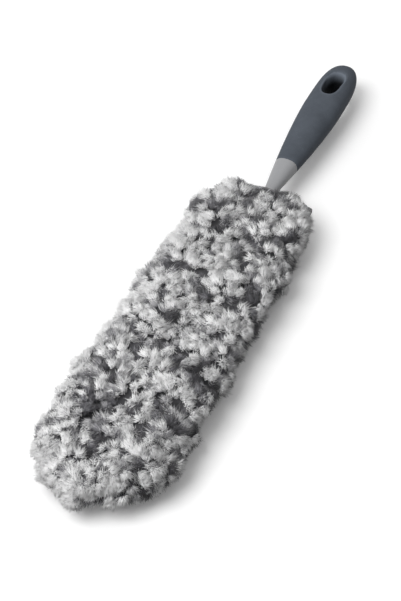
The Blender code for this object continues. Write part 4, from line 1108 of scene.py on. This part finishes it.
def holed_end(inset, outset, rim, scoop, around):
    """The grip beyond HOLE_FRONT_Y as one sheet through its hanging hole.

    Its rows run in from the outline to the hole's rim, over a quarter round of radius rim, down the hole's
    wall and out again underneath. Along a ray the plan is hole + (outline - hole) sin(u), and the height is
    b (1 - |x / a|^p)^(1/p), the height of the grip's own section. Towards the grip's end the upper
    rim's radius grows with the sine of the ray's angle squared, by scoop times itself.
    """
    half = around // 2
    side_steps, wall_steps, rim_steps, skin_steps = 64, 10, 8, 22
    turn = np.linspace(0.0, math.pi, half + 1)
    front_x = grip_half(np.array(HOLE_FRONT_Y), HALF_WIDTHS, inset)
    front_x = front_x * signed_power(np.cos(turn), 2.0 / GRIP_SQUARENESS)
    end = END_Y - inset
    y = HOLE_FRONT_Y + (end - HOLE_FRONT_Y) * np.sin(np.linspace(0.0, math.pi / 2, 600))
    x = grip_half(y, HALF_WIDTHS, inset)
    side_x, side_y = np.concatenate([-x, x[-2::-1]]), np.concatenate([y, y[-2::-1]])
    length = arc_length(side_x, side_y)
    share = np.linspace(0.0, length[-1], side_steps + 1)[1:-1]
    edge_x = np.concatenate([front_x, np.interp(share, length, side_x)])
    edge_y = np.concatenate([np.full(half + 1, HOLE_FRONT_Y), np.interp(share, length, side_y)])
    angle = np.arctan2(edge_y - HOLE_Y, edge_x)

    def height(plan_x, plan_y):
        half_x = np.maximum(grip_half(plan_y, HALF_WIDTHS, inset), 1e-9)
        half_z = grip_half(plan_y, HALF_HEIGHTS, inset)
        across = np.clip(np.abs(plan_x) / half_x, 0.0, 1.0)
        return half_z * (1.0 - across**GRIP_SQUARENESS) ** (1.0 / GRIP_SQUARENESS)

    def skin(scoop):
        """Rows of one face, from the outline to the foot of the rim."""
        rims = rim * (1.0 + scoop * np.maximum(np.sin(angle), 0.0) ** 2)
        rim_x, rim_y = hole_edge(angle, outset + rims)
        rows = []
        for u in np.linspace(math.pi / 2, 0.0, skin_steps + 1):
            plan_x = rim_x + (edge_x - rim_x) * math.sin(u)
            plan_y = rim_y + (edge_y - rim_y) * math.sin(u)
            rise = height(plan_x, plan_y)
            if u == math.pi / 2:
                rise = np.where(np.arange(len(rise)) > half, 0.0, rise)
            rows.append((plan_x, plan_y, rise))
        brow = rows[-1][2]
        for t in np.linspace(0.0, math.pi / 2, rim_steps + 1)[1:] if rim > 0 else []:
            plan_x, plan_y = hole_edge(angle, outset + rims * (1.0 - math.sin(t)))
            rows.append((plan_x, plan_y, brow - rims * (1.0 - math.cos(t))))
        return rows

    top, bottom = skin(scoop), skin(0.0)
    wall_x, wall_y, high = top[-1]
    low = -bottom[-1][2]
    wall = [(wall_x, wall_y, high + (low - high) * k / wall_steps) for k in range(1, wall_steps)]
    under = [(a, b, -c) for a, b, c in reversed(bottom)]
    sheet = np.array([np.stack([a, b, AXIS_Z + c], axis=-1) for a, b, c in top + wall + under])
    return sheet, len(edge_x)


def joined(*blocks):
    """The points and faces of several sheets, each given as its rings and the count of points in a ring."""
    points, faces, start = [], [], 0
    for rings, count in blocks:
        faces.append(quad_grid(len(rings), count) + start)
        points.append(rings.reshape(-1, 3))
        start += rings.shape[0] * count
    return points, faces


def grip_wear_and_painted_shading(mesh):
    """How much wear each point of the grip has, and where it has painted light and painted shade.

    Rim and collar are paler from wear. The upper far wall of the hole is lightened, a painted light, and deep
    in the hole the lining is darkened, a painted shade.
    """
    points = np.empty(len(mesh.vertices) * 3, dtype=np.float32)
    mesh.vertices.foreach_get("co", points)
    x, y, z = points.reshape(-1, 3).T
    angle = np.arctan2(y - HOLE_Y, x)
    edge_x, edge_y = hole_edge(angle, RIM_OUTSET)
    from_rim = np.hypot(x - edge_x, y - edge_y)
    outer = smoothstep(np.abs(z - AXIS_Z) / RIM_HEIGHT)
    rim = (1.0 - smoothstep(from_rim / RIM_FADE)) * outer
    collar = (1.0 - smoothstep((y - COLLAR_Y) / COLLAR_FADE)) * COLLAR_WEAR
    wall_x, wall_y = hole_edge(angle, WALL_OUTSET)
    inside = np.hypot(x, y - HOLE_Y) < np.hypot(wall_x, wall_y - HOLE_Y)
    # Painted light: the upper far wall of the hole is lightened as if the lamp reached it
    painted_wall_light = inside * smoothstep(np.sin(angle) * WALL_LIGHT_SPREAD)
    painted_wall_light = painted_wall_light * smoothstep((z - AXIS_Z + WALL_LIGHT_DEPTH) / WALL_LIGHT_RUN)
    # Painted shade: the lining darkens deep in the hole
    hole_painted_shade = inside * smoothstep((AXIS_Z + HOLE_SHADE_HEIGHT - z) / HOLE_SHADE_RUN)
    return {"wear_and_painted_light": np.maximum(np.maximum(rim, collar) * RIM_WEAR, painted_wall_light), "hole_painted_shade": hole_painted_shade}


class DUSTER_OT_grip(bpy.types.Operator):
    """Moulds the hollow rubber grip with the rolled rim and lining of its hanging hole"""

    bl_idname = "duster.grip"
    bl_label = "Rubber Grip"

    def execute(self, context):
        settings = context.scene.duster_grip
        around, steps = 80, 56
        turn = np.linspace(0.0, math.pi / 2, 5)
        lead_y = COLLAR_Y + settings.edge * (1.0 - np.cos(turn))
        lead_inset = settings.edge * (1.0 - np.sin(turn))
        y = np.concatenate([lead_y, np.linspace(lead_y[-1], HOLE_FRONT_Y, steps)[1:]])
        inset = np.concatenate([lead_inset, np.zeros(steps - 1)])
        inner = handle_rings(np.linspace(HOLE_FRONT_Y, COLLAR_Y, 24), RUBBER_WALL, around)
        front = np.concatenate([inner, handle_rings(y, inset, around)])
        end = holed_end(0.0, 0.0, settings.rim, settings.scoop, around)
        cavity = holed_end(RUBBER_WALL, HOLE_LINING, 0.0, 0.0, around)
        points, faces = joined((front, around), end, cavity)
        piece = piece_from("rubber_grip", np.concatenate(points), faces)
        mark(piece.data, grip_wear_and_painted_shading(piece.data))
        dressed(piece, rubber_finish(settings), "handle", "slate_rubber", "grip_cover")
        return {"FINISHED"}


class DUSTER_OT_core(bpy.types.Operator):
    """Moulds the hard core: slotted socket, visible neck, shoulder and the tang ringed round the hole"""

    bl_idname = "duster.core"
    bl_label = "Hard Core"

    def execute(self, context):
        settings = context.scene.duster_core
        around, edge = 96, 0.0005
        inset, shoulder = RUBBER_WALL + SEAT_GAP, COLLAR_Y - SEAT_GAP
        slot_x, slot_z = (0.0, SLOT_HALF_X, SLOT_HALF_X), (0.0, SLOT_HALF_Z, SLOT_HALF_Z)
        slot_y = (SLOT_END_Y, SLOT_END_Y, SOCKET_Y)
        lead = np.linspace(0.0, math.pi / 2, 4)
        pull, lead_y = edge * (1.0 - np.sin(lead)), SOCKET_Y + edge * (1.0 - np.cos(lead))
        share = np.linspace(0.0, 1.0, 17)
        blend = smoothstep(share)
        blend_x = SOCKET_HALF_X + (NECK_HALF_X - SOCKET_HALF_X) * blend
        blend_z = SOCKET_HALF_Z + (NECK_HALF_Z - SOCKET_HALF_Z) * blend
        power = SOCKET_SQUARENESS + (GRIP_SQUARENESS - SOCKET_SQUARENESS) * blend
        neck_y = np.linspace(NECK_Y, shoulder - edge / 2, 26)[1:]
        last_x = grip_half(neck_y[-1:], HALF_WIDTHS, 0.0) - edge / 2
        last_z = grip_half(neck_y[-1:], HALF_HEIGHTS, 0.0) - edge / 2
        tang_y = np.concatenate([[shoulder], np.linspace(COLLAR_Y, HOLE_FRONT_Y, 30)])
        front = np.concatenate([
            section_rings(slot_x, slot_z, SLOT_SQUARENESS, slot_y, around),
            section_rings(SOCKET_HALF_X - pull, SOCKET_HALF_Z - pull, SOCKET_SQUARENESS, lead_y, around),
            section_rings(blend_x, blend_z, power, SOCKET_Y + SOCKET_LENGTH + SOCKET_BLEND * share, around),
            handle_rings(neck_y, 0.0, around),
            section_rings(last_x, last_z, GRIP_SQUARENESS, np.array([shoulder]), around),
            handle_rings(tang_y, inset, around),
        ])
        points, faces = joined((front, around), holed_end(inset, HOLE_LINING + SEAT_GAP, 0.0, 0.0, around))
        piece = piece_from("hard_core", np.concatenate(points), faces)
        for node in ("front_frame_pin", "rear_frame_pin"):
            low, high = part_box(node)
            bored(piece, (low[1] + high[1]) / 2, (high[0] - low[0]) / 2 + PIN_CLEARANCE)
        dressed(piece, plastic_finish(settings), "handle", "grey_plastic", "handle_core")
        return {"FINISHED"}


def bored(piece, y, radius):
    """Cuts a vertical bore through a piece at x = 0."""
    sides = 40
    turn = np.linspace(0.0, 2.0 * math.pi, sides, endpoint=False)
    ring = np.stack([radius * np.cos(turn), y + radius * np.sin(turn), 0.0 * turn], axis=-1)
    reach = np.array([0.0, 0.0, 1.5 * SOCKET_HALF_Z])
    middle = np.array([0.0, 0.0, AXIS_Z])
    rings = np.stack([ring + middle - reach, ring + middle + reach])
    caps = [np.arange(sides)[None], sides + np.arange(sides)[None]]
    drill = piece_from("bore", rings, [quad_grid(2, sides), *caps])
    cut = piece.modifiers.new("bore", "BOOLEAN")
    cut.operation, cut.solver, cut.object = "DIFFERENCE", "EXACT", drill
    bpy.context.view_layer.update()
    solid = piece.evaluated_get(bpy.context.evaluated_depsgraph_get())
    mesh = bpy.data.meshes.new_from_object(solid)
    piece.modifiers.clear()
    piece.data = mesh
    mesh.set_sharp_from_angle(angle=math.radians(40))
    bpy.data.objects.remove(drill)


class DUSTER_OT_frame(bpy.types.Operator):
    """Finishes the flexible frame and the two pins, which keep their solids' own shapes"""

    bl_idname = "duster.flex_frame"
    bl_label = "Flexible Frame and Pins"

    def execute(self, context):
        settings = context.scene.duster_frame
        nylon, steel = nylon_finish(settings), steel_finish(settings)
        finishes = {"flex_frame": nylon, "front_frame_pin": steel, "rear_frame_pin": steel}
        for node, finish in finishes.items():
            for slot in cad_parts[node].material_slots:
                slot.material = finish
        return {"FINISHED"}


def shown_directly(paint):
    """1 where the camera sees a surface, by itself or in a reflection or through glass, and otherwise 0."""
    path = paint.add("ShaderNodeLightPath")
    showing = path.outputs["Is Camera Ray"]
    for label in ("Is Glossy Ray", "Is Transmission Ray"):
        showing = paint.combine("MAXIMUM", showing, path.outputs[label])
    return showing


class DUSTER_OT_stage(bpy.types.Operator):
    """Sets the pale floor, the soft lamps and the camera"""

    bl_idname = "duster.stage"
    bl_label = "Stage"

    def execute(self, context):
        settings = context.scene.duster_stage
        context.scene.view_settings.view_transform = "Standard"
        corners = np.array([[-1.0, -1.0, 0.0], [1.0, -1.0, 0.0], [1.0, 1.0, 0.0], [-1.0, 1.0, 0.0]])
        floor = piece_from("floor", FLOOR_HALF * corners, [np.array([[0, 1, 2, 3]])])
        paint = Paint("pale_floor", {"Roughness": 1.0, "Specular IOR Level": 0.0, "Emission Color": WHITE})
        showing = shown_directly(paint)
        paint.drive("Base Color", paint.mix(showing, settings.floor, (settings.floor_seen,) * 3))
        paint.drive("Emission Strength", paint.spread(showing, 0.0, settings.floor_lift))
        floor.data.materials.append(paint.material)

        world = bpy.data.worlds.new("studio")
        world.use_nodes = True
        nodes, links = world.node_tree.nodes, world.node_tree.links
        nodes["Background"].inputs["Color"].default_value = WHITE
        way, side, level = (nodes.new(f"ShaderNode{kind}") for kind in ("TexCoord", "VectorMath", "MapRange"))
        side.operation = "DOT_PRODUCT"
        side.inputs[1].default_value = Vector(SKY_SIDE).normalized()
        links.new(way.outputs["Generated"], side.inputs[0])
        links.new(side.outputs["Value"], level.inputs["Value"])
        level.inputs["From Min"].default_value = -1.0
        level.inputs["To Min"].default_value, level.inputs["To Max"].default_value = settings.sky
        links.new(level.outputs["Result"], nodes["Background"].inputs["Strength"])
        context.scene.world = world

        aim = Vector(LAMP_TARGET)
        lamp = bpy.data.lights.new("key", "AREA")
        lamp.shape, lamp.size, lamp.energy = "DISK", LAMP_SIZE, settings.key
        key = bpy.data.objects.new("key", lamp)
        key.location = aim + Vector(LAMP_SIDE).normalized() * LAMP_DISTANCE
        key.rotation_euler = (aim - key.location).to_track_quat("-Z", "Y").to_euler()
        context.scene.collection.objects.link(key)

        camera = bpy.data.objects.new("camera", bpy.data.cameras.new("camera"))
        camera.data.lens = settings.lens
        flat, rise = math.cos(settings.elevation), math.sin(settings.elevation)
        back = Vector((math.sin(settings.azimuth) * flat, -math.cos(settings.azimuth) * flat, rise))
        camera.location = Vector(CAMERA_TARGET) + back * settings.distance
        camera.rotation_euler = (-back).to_track_quat("-Z", "Y").to_euler()
        camera.data.clip_start, camera.data.clip_end = 0.01, 100.0
        context.scene.collection.objects.link(camera)
        context.scene.camera = camera
        return {"FINISHED"}


OPERATORS = (
    DUSTER_OT_stage,
    DUSTER_OT_frame,
    DUSTER_OT_core,
    DUSTER_OT_grip,
    DUSTER_OT_pile_ground,
    DUSTER_OT_tufts,
    DUSTER_OT_knits,
    DUSTER_OT_overlock,
    DUSTER_OT_hem,
)

SETTINGS = {
    "duster_pile": DusterPileSettings,
    "duster_grip": DusterGripSettings,
    "duster_core": DusterCoreSettings,
    "duster_frame": DusterFrameSettings,
    "duster_knit": DusterKnitSettings,
    "duster_stage": DusterStageSettings,
}


class DUSTER_PT_pieces(bpy.types.Panel):
    """Lists the duster's pieces and their settings"""

    bl_idname = "DUSTER_PT_pieces"
    bl_label = "Hand Duster"
    bl_space_type = "VIEW_3D"
    bl_region_type = "UI"
    bl_category = "Duster"

    def draw(self, context):
        for operator in OPERATORS:
            self.layout.operator(operator.bl_idname)
        for group in SETTINGS:
            box = self.layout.box()
            values = getattr(context.scene, group)
            for label in values.bl_rna.properties.keys():
                if label not in ("rna_type", "name"):
                    box.prop(values, label)


def register():
    for settings in SETTINGS.values():
        bpy.utils.register_class(settings)
    for name, settings in SETTINGS.items():
        setattr(bpy.types.Scene, name, PointerProperty(type=settings))
    for kind in (*OPERATORS, DUSTER_PT_pieces):
        bpy.utils.register_class(kind)


def unregister():
    for kind in (DUSTER_PT_pieces, *reversed(OPERATORS)):
        bpy.utils.unregister_class(kind)
    for name in SETTINGS:
        delattr(bpy.types.Scene, name)
    for settings in SETTINGS.values():
        bpy.utils.unregister_class(settings)


def main():
    register()
    for operator in OPERATORS:
        group, name = operator.bl_idname.split(".")
        getattr(getattr(bpy.ops, group), name)()


if __name__ == "__main__":
    main()
